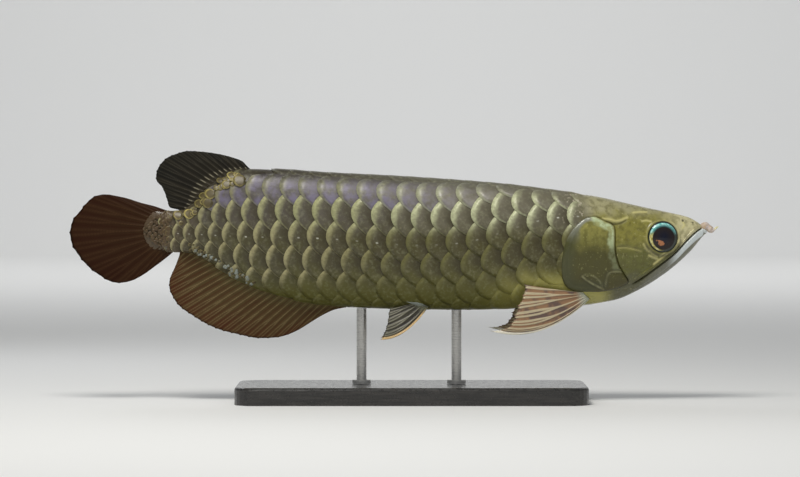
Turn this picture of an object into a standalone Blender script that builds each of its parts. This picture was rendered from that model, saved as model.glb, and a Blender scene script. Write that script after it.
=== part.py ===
"""An Asian arowana as a still, life-size museum model, held level over a flat base by two short rods.

The file is in metres with +Z up. The fish looks along +X, its right side faces -Y, and z = 0 is the
underside of the base. Every size below is in millimetres, and MM turns it into metres where a point is made.
The skin is drawn unrolled: x along the fish against the reach, the distance along the section from the
level of the fish's axis, negative below it.
"""

import math
from bisect import bisect_left
from functools import lru_cache

import bmesh
import bpy
from mathutils import Vector
from mathutils.geometry import delaunay_2d_cdt

MM = 0.001
GAP = 0.4
RIGHT, LEFT = -1, 1
SIDES = {"R": RIGHT, "L": LEFT}

# Body in side view, as points of x and z, and its sections
BACK_LINE = [
    (-196.0, 152.9), (-175.0, 152.9), (-166.5, 154.2), (-160.5, 159.0), (-149.0, 172.4), (-139.0, 179.8),
    (-127.0, 185.2), (-116.0, 187.0), (-52.0, 183.0), (5.0, 180.1), (86.0, 174.2), (127.0, 169.2),
    (158.0, 165.0), (198.0, 156.2), (218.0, 151.9), (234.5, 148.0), (243.0, 143.6), (248.6, 138.8),
]
BELLY_LINE = [
    (-196.0, 119.8), (-168.0, 119.8), (-159.0, 118.2), (-151.0, 113.4), (-127.0, 97.8), (-99.0, 86.2),
    (-67.0, 78.4), (-38.0, 76.0), (0.0, 74.5), (56.0, 73.8), (125.0, 75.2), (157.0, 77.2), (178.0, 81.6),
    (198.0, 90.6), (219.0, 104.2), (237.0, 120.2), (245.5, 130.4), (248.6, 134.0),
]
HALF_WIDTH = [
    (-196.0, 3.0), (-188.0, 4.2), (-167.0, 8.6), (-151.0, 12.4), (-127.0, 17.0), (-90.0, 21.2), (-38.0, 24.4),
    (30.0, 26.0), (80.0, 26.0), (127.0, 25.0), (157.0, 23.4), (178.0, 21.4), (198.0, 18.6), (214.0, 15.8),
    (229.0, 12.0), (238.0, 9.2), (244.5, 6.4), (248.6, 4.0),
]
WIDEST_SHARE = [(-188.0, 0.5), (-120.0, 0.55), (0.0, 0.57), (150.0, 0.56), (215.0, 0.6), (248.6, 0.55)]
BACK_ROUNDNESS = [(-188.0, 2.0), (-120.0, 2.2), (0.0, 2.4), (150.0, 2.5), (220.0, 2.7), (248.6, 2.2)]
BELLY_ROUNDNESS = [(-188.0, 2.0), (-110.0, 1.75), (0.0, 1.85), (150.0, 1.95), (200.0, 2.1), (248.6, 2.1)]
SECTION_STEPS = 72
AXIS_Z = 136.0
CHIN_X, CHIN_STEPS = 248.6, 6
RIDGE_STEP = 7.0
LINE_STEP = 4.5

# Scales: the lateral line, the spacing of their rows, and the columns of their rear edges along the fish
LATERAL_LINE = [
    (-196.0, 135.5), (-160.0, 134.2), (-115.0, 132.2), (-75.0, 131.6), (-43.0, 130.2), (-11.0, 127.2),
    (18.0, 125.6), (49.0, 126.8), (69.0, 130.6), (85.0, 135.6), (101.0, 141.0), (121.0, 146.4), (141.0, 148.4),
]
ROW_SPACING = [(-196.0, 9.5), (-155.0, 13.5), (-115.0, 18.5), (-75.0, 20.0), (165.0, 20.0)]
COLUMN_AT = [(-200.0, 25.0), (-164.0, 20.5), (-112.0, 16.0), (9.4, 8.0), (137.4, 0.0), (185.0, -3.0)]
SCALE_LEAN = 0.24
SCALE_HALF_HEIGHT = 0.72
SCALE_BOW = 0.5 / (SCALE_HALF_HEIGHT**2 - (1 - SCALE_HALF_HEIGHT) ** 2)
SCALE_LIFT = 1.3
SCALE_STEP = 0.03
SCALE_FADE = 9.0
FULL_ROW_SPACING = 20.0
ROWS = range(-6, 7)
COLUMNS = range(-8, 34)
VENT_COLUMN, VENT_SLANT = 11, 0.3
CLEAR_OF_EDGE = 1.3

# Edges that part the body, each from the back down, as points of x and z
NAPE_EDGE = [(161.5, 175.0), (161.5, 158.0), (161.0, 152.0), (160.6, 148.2)]
COVER_REAR = [
    (160.6, 148.2), (151.5, 146.6), (142.4, 138.6), (136.6, 129.0), (133.8, 117.0), (133.2, 104.0), (135.8, 94.4),
    (142.0, 89.6), (151.0, 88.8), (163.0, 88.6),
]
THROAT_EDGE = [(163.0, 88.6), (169.5, 86.8), (174.0, 83.6), (176.5, 76.0)]
COVER_FRONT = [
    (163.0, 88.6), (172.0, 90.0), (182.0, 93.0), (186.6, 96.4), (183.4, 101.8), (178.6, 110.4), (175.8, 122.0),
    (175.6, 134.0), (174.6, 141.0), (168.0, 144.6), (160.6, 148.2),
]
TAIL_EDGE = [
    (-179.0, 160.0), (-180.0, 152.0), (-187.0, 149.0), (-192.0, 144.0), (-194.6, 137.0), (-193.8, 129.6),
    (-188.6, 124.0), (-181.0, 120.8), (-176.5, 119.9), (-176.0, 112.0),
]
MOUTH_LINE = [
    (253.0, 141.8), (246.5, 139.4), (242.4, 136.8), (233.6, 128.8), (225.0, 119.6), (208.8, 106.8), (190.0, 94.6),
    (184.5, 88.0), (181.0, 76.0),
]

# Head: gill cover, seams of the cheek, edge of the upper jaw, lips and nostrils
COVER_PROUD, COVER_ROUND, COVER_SUNK, BED_DEPTH, RECESS_WALL = 1.3, 0.5, 0.6, 1.6, 0.25
COVER_LOBE = [(146.0, 101.6), (150.0, 97.4), (155.6, 94.6), (162.0, 94.2)]
COVER_SEAM = [(168.0, 95.4), (168.6, 100.6), (170.2, 105.6), (175.6, 106.6)]
CHEEK_SEAM = [(177.8, 124.4), (184.0, 124.6), (190.4, 123.4), (196.6, 121.8)]
NAPE_GROOVE = [(166.0, 150.2), (171.0, 147.4), (178.4, 147.0), (184.4, 149.4)]
UPPER_JAW_EDGE = [
    (240.6, 139.6), (236.0, 135.6), (230.6, 128.4), (226.4, 121.6), (220.4, 117.4), (214.4, 114.8), (206.6, 109.0),
    (197.6, 102.6), (191.4, 98.6),
]
UPPER_JAW_LIFT, UPPER_JAW_STEP = 0.8, 0.9
SEAM_DEPTH, SEAM_REACH = 0.6, 1.1
LIP_LIFT, LIP_REACH, LIP_STEP = 0.9, 5.0, 1.0
NOSTRILS = [(238.6, 143.4, 1.1), (230.6, 145.0, 1.5)]
NOSTRIL_RIM, NOSTRIL_DEPTH, NOSTRIL_SIDES = 0.35, 1.3, 7
FILL_STEP = 7.0

# Eyes: centre in side view, radius, socket depth, and how far the ball stands out
EYE_X, EYE_Z, EYE_RADIUS, EYE_SIDES = 214.2, 132.0, 12.4, 24
EYE_SOCKET_DEPTH, EYE_RIM_LIFT, EYE_RIM_REACH = 5.5, 0.9, 2.4
EYE_BULGE, EYE_EDGE_LIFT = 3.2, 0.1

# Barbels: path from the chin, and radius along it
BARBEL_PATH = [(248.95, 2.0, 136.6), (251.6, 2.7, 138.2), (254.2, 3.4, 138.6), (256.6, 4.0, 137.9), (259.64, 4.8, 140.0)]
BARBEL_RADIUS = [1.75, 2.3, 1.9, 0.8, 0.45]
BARBEL_SIDES = 8
BARBEL_STEPS = 9

# Fins: margin as points of x and z, number of rays, root and tip half thickness of rays and membrane
DORSAL_MARGIN = [
    (-117.5, 187.6), (-121.6, 192.6), (-132.8, 196.6), (-144.0, 199.0), (-155.2, 200.4), (-166.4, 200.8),
    (-174.0, 198.8), (-181.9, 195.5), (-187.5, 189.9), (-190.4, 183.8), (-190.4, 177.0), (-186.4, 172.6),
    (-183.6, 167.0), (-181.4, 160.1), (-179.5, 155.4), (-172.0, 153.9),
]
DORSAL_ROOT_X = (-117.0, -168.5)
DORSAL_RAYS, DORSAL_SWEEP = 19, 0.86
ANAL_MARGIN = [
    (-38.4, 75.4), (-48.0, 73.4), (-56.8, 69.4), (-66.4, 63.6), (-74.4, 58.5), (-82.4, 54.4), (-92.8, 51.2),
    (-108.0, 50.4), (-116.0, 51.4), (-127.2, 54.0), (-138.4, 56.8), (-149.6, 61.4), (-160.8, 68.1), (-172.0, 76.0),
    (-177.6, 83.8), (-180.2, 90.5), (-179.7, 98.4), (-175.2, 108.6), (-171.6, 118.0),
]
ANAL_ROOT_X = (-39.0, -169.5)
ANAL_RAYS, ANAL_SWEEP = 26, 0.7
TAIL_MARGIN = [
    (-181.0, 152.4), (-190.9, 156.2), (-203.2, 159.4), (-214.4, 163.0), (-228.0, 165.8), (-235.8, 165.8),
    (-243.6, 162.4), (-251.5, 153.4), (-258.2, 144.4), (-259.9, 134.4), (-258.2, 125.4), (-252.6, 116.4),
    (-244.8, 107.4), (-235.8, 100.6), (-226.8, 95.6), (-219.0, 94.8), (-211.2, 96.2), (-202.1, 100.6),
    (-190.9, 108.6), (-183.0, 114.6), (-178.4, 118.4),
]
TAIL_RAYS = 17
FIN_STATIONS = (0.0, 0.12, 0.36, 0.68, 1.0)
FIN_ROOT_HALF, FIN_TIP_HALF = 1.5, 0.6
MEMBRANE_SHARE, MEMBRANE_NOTCH = 0.45, 0.03
MEMBRANE_HALF = 0.26
FIN_ROOT_GAP = 0.55

# Paired fins: root line, ray tips from the leading edge on, sag of the rays and how far they stand out
PECTORAL_ROOT = ((155.6, 83.4), (151.6, 87.4))
PECTORAL_TIPS = [
    (75.2, 58.5), (87.0, 60.0), (92.0, 64.0), (94.6, 70.0), (97.4, 77.6), (101.6, 86.0), (103.0, 94.6),
]
PECTORAL_SAG, PECTORAL_FLARE = (13.0, 0.5), (27.0, 12.0)
PELVIC_ROOT = ((28.0, 76.6), (13.4, 78.8))
PELVIC_TIPS = [
    (-11.4, 50.4), (-8.6, 54.2), (-6.6, 59.4), (-5.2, 65.0), (-4.6, 70.4), (-3.6, 75.0),
]
PELVIC_SAG, PELVIC_FLARE = (7.5, 0.5), (13.0, 4.0)
PAIRED_STATIONS = (0.0, 0.05, 0.2, 0.42, 0.68, 1.0)
PAIRED_ROOT_HALF, PAIRED_LEADING = 1.3, 1.5
PAIRED_CLEAR = 0.5

# Stand: plate of the base and the two rods
BASE_LENGTH, BASE_WIDTH, BASE_HEIGHT, BASE_CENTRE_X = 280.0, 116.0, 14.0, 14.0
BASE_CORNER, BASE_EDGE = 16.0, 2.0
ROD_XS = {"rear": -26.0, "front": 50.0}
ROD_RADIUS, ROD_COLLAR_RADIUS, ROD_COLLAR_HEIGHT, ROD_SIDES = 4.0, 7.5, 3.0, 24

COLOURS = {
    "head": (0.27, 0.25, 0.09), "lower_jaw": (0.42, 0.44, 0.36), "trunk": (0.22, 0.2, 0.1),
    "tail_trunk": (0.2, 0.17, 0.09), "gill_cover": (0.26, 0.27, 0.09), "eye": (0.02, 0.02, 0.02),
    "barbel": (0.6, 0.45, 0.3), "dorsal_fin": (0.07, 0.06, 0.045), "anal_fin": (0.17, 0.09, 0.045),
    "tail_fin": (0.11, 0.04, 0.02), "pectoral_fin": (0.5, 0.33, 0.2), "pelvic_fin": (0.3, 0.23, 0.14),
    "stand_base": (0.03, 0.028, 0.026), "stand_rod": (0.6, 0.6, 0.58),
}
GLOSSY, SATIN = 0.18, 0.42


def clear_scene():
    for thing in list(bpy.data.objects):
        bpy.data.objects.remove(thing, do_unlink=True)


def through(points):
    """A smooth curve through the points, without overshoot, as a function."""
    xs = [p[0] for p in points]
    ys = [p[1] for p in points]
    steps = [(ys[i + 1] - ys[i]) / (xs[i + 1] - xs[i]) for i in range(len(xs) - 1)]
    slopes = [steps[0]]
    for before, after in zip(steps, steps[1:]):
        slopes.append(0.0 if before * after <= 0 else 2 * before * after / (before + after))
    slopes.append(steps[-1])

    def curve(x):
        x = min(max(x, xs[0]), xs[-1])
        i = max(bisect_left(xs, x), 1) - 1
        width = xs[i + 1] - xs[i]
        t = (x - xs[i]) / width
        return (
            ys[i] * (1 + 2 * t) * (1 - t) ** 2
            + slopes[i] * width * t * (1 - t) ** 2
            + ys[i + 1] * t * t * (3 - 2 * t)
            - slopes[i + 1] * width * t * t * (1 - t)
        )

    return curve


back_z = through(BACK_LINE)
belly_z = through(BELLY_LINE)
half_width = through(HALF_WIDTH)
widest_share = through(WIDEST_SHARE)
back_roundness = through(BACK_ROUNDNESS)
belly_roundness = through(BELLY_ROUNDNESS)
lateral_z = through(LATERAL_LINE)
row_spacing = through(ROW_SPACING)
column_at = through(COLUMN_AT)


@lru_cache(maxsize=None)
def section(x):
    """The body's section at x, from the keel up: reaches, half widths and heights of its points."""
    bottom, top = belly_z(x), back_z(x)
    middle = bottom + widest_share(x) * (top - bottom)
    reaches, widths, heights = [0.0], [], []
    for i in range(SECTION_STEPS + 1):
        turn = math.pi * (i / SECTION_STEPS - 0.5)
        above = turn > 0
        power = 2 / (back_roundness(x) if above else belly_roundness(x))
        height = top - middle if above else middle - bottom
        widths.append(half_width(x) * max(math.cos(turn), 0.0) ** power)
        heights.append(middle + math.copysign(height * abs(math.sin(turn)) ** power, turn))
        if i:
            reaches.append(reaches[-1] + math.hypot(widths[-1] - widths[-2], heights[-1] - heights[-2]))
    widths[0] = widths[-1] = 0.0
    i = min(max(bisect_left(heights, AXIS_Z), 1), len(heights) - 1)
    t = (AXIS_Z - heights[i - 1]) / (heights[i] - heights[i - 1])
    level = reaches[i - 1] + t * (reaches[i] - reaches[i - 1])
    return [reach - level for reach in reaches], widths, heights


def section_near(x):
    return section(round(x, 2))


def keel(x):
    """Reach of the keel."""
    return section_near(x)[0][0]


def back(x):
    """Reach of the middle of the back."""
    return section_near(x)[0][-1]


def unrolled(x, z):
    """Side-view point to a point of the unrolled skin."""
    reaches, _, heights = section_near(x)
    z = min(max(z, heights[0]), heights[-1])
    i = min(max(bisect_left(heights, z), 1), len(heights) - 1)
    t = (z - heights[i - 1]) / max(heights[i] - heights[i - 1], 1e-9)
    return x, reaches[i - 1] + t * (reaches[i] - reaches[i - 1])


def skin_point(x, reach, lift=0.0, side=RIGHT):
    """Point in metres on one side of the body, lifted along the section's normal."""
    reaches, widths, heights = section_near(x)
    reach = min(max(reach, reaches[0]), reaches[-1])
    i = min(max(bisect_left(reaches, reach), 1), len(reaches) - 1)
    t = (reach - reaches[i - 1]) / (reaches[i] - reaches[i - 1])
    y = widths[i - 1] + t * (widths[i] - widths[i - 1])
    z = heights[i - 1] + t * (heights[i] - heights[i - 1])
    low, high = max(i - 2, 0), min(i + 1, len(reaches) - 1)
    across, up = widths[high] - widths[low], heights[high] - heights[low]
    length = math.hypot(across, up)
    y += lift * up / length
    z -= lift * across / length
    return Vector((x, side * y, z)) * MM


def skin_y(x, z):
    """Half width of the body at a side-view point, 0 above and below it."""
    if not belly_z(x) < z < back_z(x):
        return 0.0
    return abs(skin_point(*unrolled(x, z)).y) / MM


def smooth_line(points, step=LINE_STEP):
    """Points at an even step along a smooth curve through the given ones."""
    ends = [points[0], *points, points[-1]]
    dense = []
    for before, start, end, after in zip(ends, ends[1:], ends[2:], ends[3:]):
        for i in range(12):
            t = i / 12
            dense.append(tuple(
                0.5 * (2 * b + t * (c - a) + t * t * (2 * a - 5 * b + 4 * c - d) + t**3 * (3 * b - a - 3 * c + d))
                for a, b, c, d in zip(before, start, end, after)
            ))
    dense.append(tuple(points[-1]))
    return resampled(dense, step)


def resampled(line, step=None, count=None):
    """The same line with evenly spaced points."""
    along = [0.0]
    for start, end in zip(line, line[1:]):
        along.append(along[-1] + math.dist(start, end))
    count = count or max(round(along[-1] / step), 1)
    return [point_along(line, along, along[-1] * i / count) for i in range(count + 1)]


def point_along(line, along, distance):
    i = min(max(bisect_left(along, distance), 1), len(line) - 1)
    t = (distance - along[i - 1]) / max(along[i] - along[i - 1], 1e-9)
    return tuple(a + t * (b - a) for a, b in zip(line[i - 1], line[i]))


def moved_aside(line, distance):
    """A line moved to the left of its direction."""
    moved = []
    for i, point in enumerate(line):
        before, after = line[max(i - 1, 0)], line[min(i + 1, len(line) - 1)]
        dx, dy = after[0] - before[0], after[1] - before[1]
        length = math.hypot(dx, dy)
        moved.append((point[0] - distance * dy / length, point[1] + distance * dx / length))
    return moved


def clipped(line):
    """The part of a side-view line that lies on the body, ending exactly on the back and the keel."""
    def inside(point):
        return belly_z(point[0]) < point[1] < back_z(point[0])

    kept = []
    for start, end in zip(line, line[1:]):
        if inside(start):
            kept.append(start)
        if inside(start) != inside(end):
            kept.append(crossing(start, end, inside))
    if inside(line[-1]):
        kept.append(line[-1])
    return kept


def crossing(start, end, inside):
    low, high = (start, end) if inside(start) else (end, start)
    for _ in range(30):
        middle = tuple((a + b) / 2 for a, b in zip(low, high))
        low, high = (middle, high) if inside(middle) else (low, middle)
    return low


def on_skin(line):
    """A side-view line on the unrolled skin, its ends set exactly on the back or the keel where they reach it."""
    points = []
    for x, z in line:
        x, reach = unrolled(x, z)
        if z > back_z(x) - 0.02:
            reach = back(x)
        if z < belly_z(x) + 0.02:
            reach = keel(x)
        points.append((x, reach))
    return points


def run_along(edge, start_x, end_x):
    """Points along the keel or the back, between two places and without them."""
    count = max(round(abs(end_x - start_x) / RIDGE_STEP), 1)
    xs = [start_x + (end_x - start_x) * i / count for i in range(1, count)]
    return [(x, edge(x)) for x in xs]


def line_distance(point, line):
    """Shortest distance from a point to a line of points."""
    best = math.inf
    px, py = point
    for (ax, ay), (bx, by) in zip(line, line[1:]):
        dx, dy = bx - ax, by - ay
        t = min(max(((px - ax) * dx + (py - ay) * dy) / max(dx * dx + dy * dy, 1e-12), 0.0), 1.0)
        best = min(best, math.hypot(px - ax - t * dx, py - ay - t * dy))
    return best


def is_within(point, outline):
    within = False
    px, py = point
    for (ax, ay), (bx, by) in zip(outline, outline[1:] + outline[:1]):
        if (ay > py) != (by > py) and px < ax + (py - ay) * (bx - ax) / (by - ay):
            within = not within
    return within


class Sheet:
    """A patch of the unrolled skin, drawn as an outline, lines and dots, each point with its lift."""

    def __init__(self, outline, lifts=None):
        self.outline = [tuple(p) for p in outline]
        self.points = list(self.outline)
        self.lifts = list(lifts or [0.0] * len(self.points))
        self.edges = []
        self.lines = [self.outline + self.outline[:1]]

    def clear(self, point, distance=CLEAR_OF_EDGE):
        return is_within(point, self.outline) and line_distance(point, self.lines[0]) > distance

    def add_line(self, line, lift, closed=False, apart=0.0):
        """Adds the stretches of a line that keep clear of the outline, and by apart of the lines before it."""
        before = self.lines[1:] if apart else []
        numbers = []
        for point in line:
            fits = self.clear(point) and all(line_distance(point, other) > apart for other in before)
            numbers.append(len(self.points) if fits else None)
            if fits:
                self.points.append(point)
                self.lifts.append(lift(*point) if callable(lift) else lift)
        pairs = list(zip(numbers, numbers[1:])) + ([(numbers[-1], numbers[0])] if closed else [])
        self.edges.extend((a, b) for a, b in pairs if a is not None and b is not None)
        self.lines.append(list(line) + ([line[0]] if closed else []))

    def add_dots(self, step, lift=0.0):
        """Fills the patch with dots on a staggered grid, clear of every line."""
        xs, reaches = [p[0] for p in self.outline], [p[1] for p in self.outline]
        rise = step * math.sqrt(0.75)
        for row in range(int((max(reaches) - min(reaches)) / rise) + 1):
            for column in range(int((max(xs) - min(xs)) / step) + 1):
                point = (min(xs) + step * (column + 0.5 * (row % 2)), min(reaches) + rise * row)
                if all(line_distance(point, line) > 0.55 * step for line in self.lines) and self.clear(point):
                    self.points.append(point)
                    self.lifts.append(lift(*point) if callable(lift) else lift)

    def mesh(self):
        """Triangles over the patch, as points with their lifts and faces."""
        outline_face = [list(range(len(self.outline)))]
        flat = [Vector(point) for point in self.points]
        places, _, faces, sources, _, _ = delaunay_2d_cdt(flat, self.edges, outline_face, 1, 0.001)
        lifts = [self.lifts[source[0]] if source else 0.0 for source in sources]
        used = sorted({corner for face in faces for corner in face})
        renamed = {corner: i for i, corner in enumerate(used)}
        points = [(places[i].x, places[i].y, lifts[i]) for i in used]
        return points, [[renamed[corner] for corner in face] for face in faces]


def open_edges(faces):
    """Directed edges that only one face has."""
    directed = {(a, b) for face in faces for a, b in zip(face, face[1:] + face[:1])}
    return [(a, b) for a, b in directed if (b, a) not in directed]


def add_node(name, bm, colour, roughness, metallic=0.0):
    """Turns a bmesh into the node's object, with its own material."""
    bmesh.ops.triangulate(bm, faces=bm.faces)
    bmesh.ops.recalc_face_normals(bm, faces=bm.faces)
    mesh = bpy.data.meshes.new(name)
    bm.to_mesh(mesh)
    bm.free()
    mesh.shade_smooth()
    mesh.set_sharp_from_angle(angle=math.radians(35))
    material = bpy.data.materials.new(name)
    material.use_nodes = True
    shader = material.node_tree.nodes["Principled BSDF"]
    shader.inputs["Base Color"].default_value = (*colour, 1.0)
    shader.inputs["Roughness"].default_value = roughness
    shader.inputs["Metallic"].default_value = metallic
    mesh.materials.append(material)
    node = bpy.data.objects.new(name, mesh)
    bpy.context.scene.collection.objects.link(node)
    return node


def add_face(bm, corners):
    distinct = list(dict.fromkeys(corners))
    if len(distinct) > 2:
        bm.faces.new(distinct)


def body_length(name, sheet, colour):
    """A length of the body: both sides of the skin and the flat walls that cross between them."""
    points, faces = sheet.mesh()
    bm = bmesh.new()
    right = [bm.verts.new(skin_point(x, reach, lift, RIGHT)) for x, reach, lift in points]
    left = []
    for (x, reach, lift), twin in zip(points, right):
        on_midline = reach - keel(x) < 0.12 or back(x) - reach < 0.12
        left.append(twin if on_midline else bm.verts.new(skin_point(x, reach, lift, LEFT)))
        if on_midline:
            twin.co.y = 0.0
    for face in faces:
        add_face(bm, [right[i] for i in face])
        add_face(bm, [left[i] for i in reversed(face)])
    for a, b in open_edges(faces):
        add_face(bm, [right[b], right[a], left[a], left[b]])
    return add_node(name, bm, colour, SATIN)


def skin_plate(name, sheet, inner_lift, side, colour, roughness):
    """A plate that lies on the skin: an outer face, an inner face alike, and the edge between them."""
    points, faces = sheet.mesh()
    bm = bmesh.new()
    outer = [bm.verts.new(skin_point(x, reach, lift, side)) for x, reach, lift in points]
    inner = [bm.verts.new(skin_point(x, reach, inner_lift, side)) for x, reach, _ in points]
    for face in faces:
        bm.faces.new([outer[i] for i in face])
        bm.faces.new([inner[i] for i in reversed(face)])
    for a, b in open_edges(faces):
        bm.faces.new([outer[b], outer[a], inner[a], inner[b]])
    return add_node(name, bm, colour, roughness)


@lru_cache(maxsize=None)
def column_x(column):
    """Place along the fish of a column of scales."""
    low, high = COLUMN_AT[0][0], COLUMN_AT[-1][0]
    for _ in range(40):
        middle = (low + high) / 2
        low, high = (middle, high) if column_at(middle) > column else (low, middle)
    return low


def scale_spot(row, column, rise, behind=0.0):
    """Point on the rear edge of a scale, rise rows above its middle, and behind it by a share of a column."""
    place = column + 0.5 * row + SCALE_LEAN * (row + rise) - SCALE_BOW * rise * rise + behind
    x = column_x(round(place, 4))
    return x, unrolled(x, lateral_z(x))[1] + (row + rise) * row_spacing(x)


def scale_lines(row, column):
    """Top and foot of the step at a scale's rear edge; both end on the feet of the scales above and below."""
    short = 1 - SCALE_HALF_HEIGHT
    above = scale_spot(row + 1, column - 1, -short, SCALE_STEP)
    below = scale_spot(row - 1, column, short, SCALE_STEP)
    top = [below] + [scale_spot(row, column, rise) for rise in (-short, 0.0, short)] + [above]
    foot = [below] + [scale_spot(row, column, rise, SCALE_STEP) for rise in (-short, 0.0, short)] + [above]
    return top, foot


def vent_line(behind):
    """The line of scale edges over the vent that parts the trunk from the tail, from the keel up."""
    line = []
    for row in ROWS:
        for rise in (-(1 - SCALE_HALF_HEIGHT), 0.0, 1 - SCALE_HALF_HEIGHT):
            x, reach = scale_spot(row, VENT_COLUMN - row, rise, behind)
            if keel(x) + 2.0 < reach < back(x) - 2.0:
                line.append((x, reach))
    low_x, high_x = line[0][0], line[-1][0]
    return [(low_x, keel(low_x))] + line + [(high_x, back(high_x))]


def gill_line():
    """The gill opening and its run up to the nape and down to the throat, from the back to the keel."""
    return clipped(smooth_line(NAPE_EDGE) + smooth_line(COVER_REAR)[1:] + smooth_line(THROAT_EDGE)[1:])


def scale_lift(x, reach):
    """Height of a scale's rear edge over the skin; it fades out at the keel, the back and the ends."""
    ends = min(line_distance((x, reach), line) for line in end_lines())
    room = min(reach - keel(x), back(x) - reach, ends)
    return SCALE_LIFT * min(row_spacing(x) / FULL_ROW_SPACING, 1.0) * min(room / SCALE_FADE, 1.0)


def vent_lift(x, reach):
    """Lift of the trunk's rear edge: that of its scales, only where the skin faces sideways."""
    slant = abs(skin_point(x, reach, 1.0).z - skin_point(x, reach).z) / MM
    return scale_lift(x, reach) * max(1.0 - slant / VENT_SLANT, 0.0)


@lru_cache(maxsize=None)
def end_lines():
    return on_skin(gill_line()), on_skin(clipped(smooth_line(TAIL_EDGE)))


def scaled(name, outline, lifts, colour):
    """A length of the body with every scale raised on it."""
    sheet = Sheet(outline, lifts)
    for row in ROWS:
        for column in COLUMNS:
            top, foot = scale_lines(row, column)
            if sheet.clear(top[2], 0.0):
                ends = (top[0], top[-1])
                sheet.add_line(top, lambda x, reach: 0.0 if (x, reach) in ends else scale_lift(x, reach))
                sheet.add_line(foot, 0.0)
    return body_length(name, sheet, colour)


def add_trunk():
    front = on_skin(gill_line())
    rear = vent_line(0.0)
    belly = run_along(keel, front[-1][0], rear[0][0])
    top = run_along(back, rear[-1][0], front[0][0])
    lifts = [0.0] * len(front + belly) + [vent_lift(*point) for point in rear] + [0.0] * len(top)
    return scaled("trunk", front + belly + rear + top, lifts, COLOURS["trunk"])


def add_tail_trunk():
    rear = on_skin(clipped(smooth_line(TAIL_EDGE)))
    front = vent_line(SCALE_STEP)
    top = run_along(back, front[-1][0], rear[0][0])
    belly = run_along(keel, rear[-1][0], front[0][0])
    return scaled("tail_trunk", front + top + rear + belly, None, COLOURS["tail_trunk"])


def mouth_edge(aside):
    line = clipped(smooth_line(MOUTH_LINE))
    return on_skin(moved_aside(line, aside))


def circle(radius, sides=EYE_SIDES, centre=(EYE_X, EYE_Z)):
    """A circle in side view, on the unrolled skin."""
    turns = [2 * math.pi * i / sides for i in range(sides)]
    return on_skin([(centre[0] + radius * math.cos(t), centre[1] + radius * math.sin(t)) for t in turns])


def cover_outline(inset):
    """Outline of the gill cover on the unrolled skin, inset from the edges that it meets."""
    rear = moved_aside(on_skin(smooth_line(COVER_REAR)), GAP)
    front = moved_aside(on_skin(smooth_line(COVER_FRONT)), inset)
    return rear[1:-1] + front[1:-1]


def add_seam(sheet, line, depth, reach=SEAM_REACH, base=0.0):
    """A groove, or with a negative depth a ridge, along a side-view line."""
    middle = on_skin(smooth_line(line))
    sheet.add_line(middle, base - depth, apart=reach)
    for aside in (reach, -reach):
        sheet.add_line(moved_aside(middle, aside), base)


def add_head():
    """Skull, snout, cheeks and the beds of the gill covers, over the mouth line."""
    rear = moved_aside(on_skin(gill_line()), GAP)
    rear[0] = (rear[0][0], back(rear[0][0]))
    rear[-1] = (rear[-1][0], keel(rear[-1][0]))
    mouth = list(reversed(mouth_edge(-GAP / 2)))
    mouth[0] = (mouth[0][0], keel(mouth[0][0]))
    mouth[-1] = (mouth[-1][0], back(mouth[-1][0]))
    bed = cover_outline(RECESS_WALL)
    throat = run_along(keel, rear[-1][0], mouth[0][0])
    outline = rear + throat + mouth + run_along(back, mouth[-1][0], rear[0][0])
    cover_rear = on_skin(smooth_line(COVER_REAR))
    lifts = []
    for i, point in enumerate(outline):
        in_bed = i < len(rear) and line_distance(point, cover_rear) < 1.5 * GAP
        lifts.append(-BED_DEPTH if in_bed else (LIP_LIFT if point in mouth[3:-1] else 0.0))
    sheet = Sheet(outline, lifts)
    front = on_skin(smooth_line(COVER_FRONT))
    sheet.add_line(moved_aside(front, 0.0)[1:-1], 0.25)
    sheet.add_line(moved_aside(front, RECESS_WALL)[1:-1], -BED_DEPTH)
    edge = on_skin(smooth_line(UPPER_JAW_EDGE))
    sheet.add_line(edge, UPPER_JAW_LIFT)
    sheet.add_line(moved_aside(edge, -UPPER_JAW_STEP), 0.0)
    add_seam(sheet, CHEEK_SEAM, SEAM_DEPTH)
    add_seam(sheet, NAPE_GROOVE, SEAM_DEPTH)
    sheet.add_line(circle(EYE_RADIUS + EYE_RIM_REACH), 0.0, closed=True)
    sheet.add_line(circle(EYE_RADIUS), EYE_RIM_LIFT, closed=True)
    sheet.add_line(circle(EYE_RADIUS - RECESS_WALL), -EYE_SOCKET_DEPTH, closed=True)
    for x, z, radius in NOSTRILS:
        sheet.add_line(circle(radius, NOSTRIL_SIDES, (x, z)), NOSTRIL_RIM, closed=True)
        sheet.add_line([unrolled(x, z)], -NOSTRIL_DEPTH)
    socket = circle(EYE_RADIUS)

    def lift(x, reach):
        if is_within((x, reach), socket):
            return -EYE_SOCKET_DEPTH
        return -BED_DEPTH if is_within((x, reach), bed) else 0.0

    sheet.add_dots(FILL_STEP, lift)
    return body_length("head", sheet, COLOURS["head"])


def add_lower_jaw():
    """Lower jaw from the throat to the blunt chin, with its lip along the mouth."""
    mouth = mouth_edge(GAP / 2)
    mouth[0] = (mouth[0][0], back(mouth[0][0]))
    mouth[-1] = (mouth[-1][0], keel(mouth[-1][0]))
    low, high = keel(CHIN_X), back(CHIN_X)
    front = [(CHIN_X, low + (high - low) * i / CHIN_STEPS) for i in range(CHIN_STEPS + 1)]
    lip = [LIP_LIFT if 0 < i < len(mouth) - 5 else 0.0 for i in range(len(mouth))]
    under = run_along(keel, mouth[-1][0], CHIN_X)
    sheet = Sheet(mouth + under + front, lip + [0.0] * len(under + front))
    sheet.add_line(moved_aside(mouth, LIP_REACH)[2:-5], LIP_LIFT)
    sheet.add_line(moved_aside(mouth, LIP_REACH + LIP_STEP)[2:-5], 0.0)
    sheet.add_dots(FILL_STEP)
    return body_length("lower_jaw", sheet, COLOURS["lower_jaw"])


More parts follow.
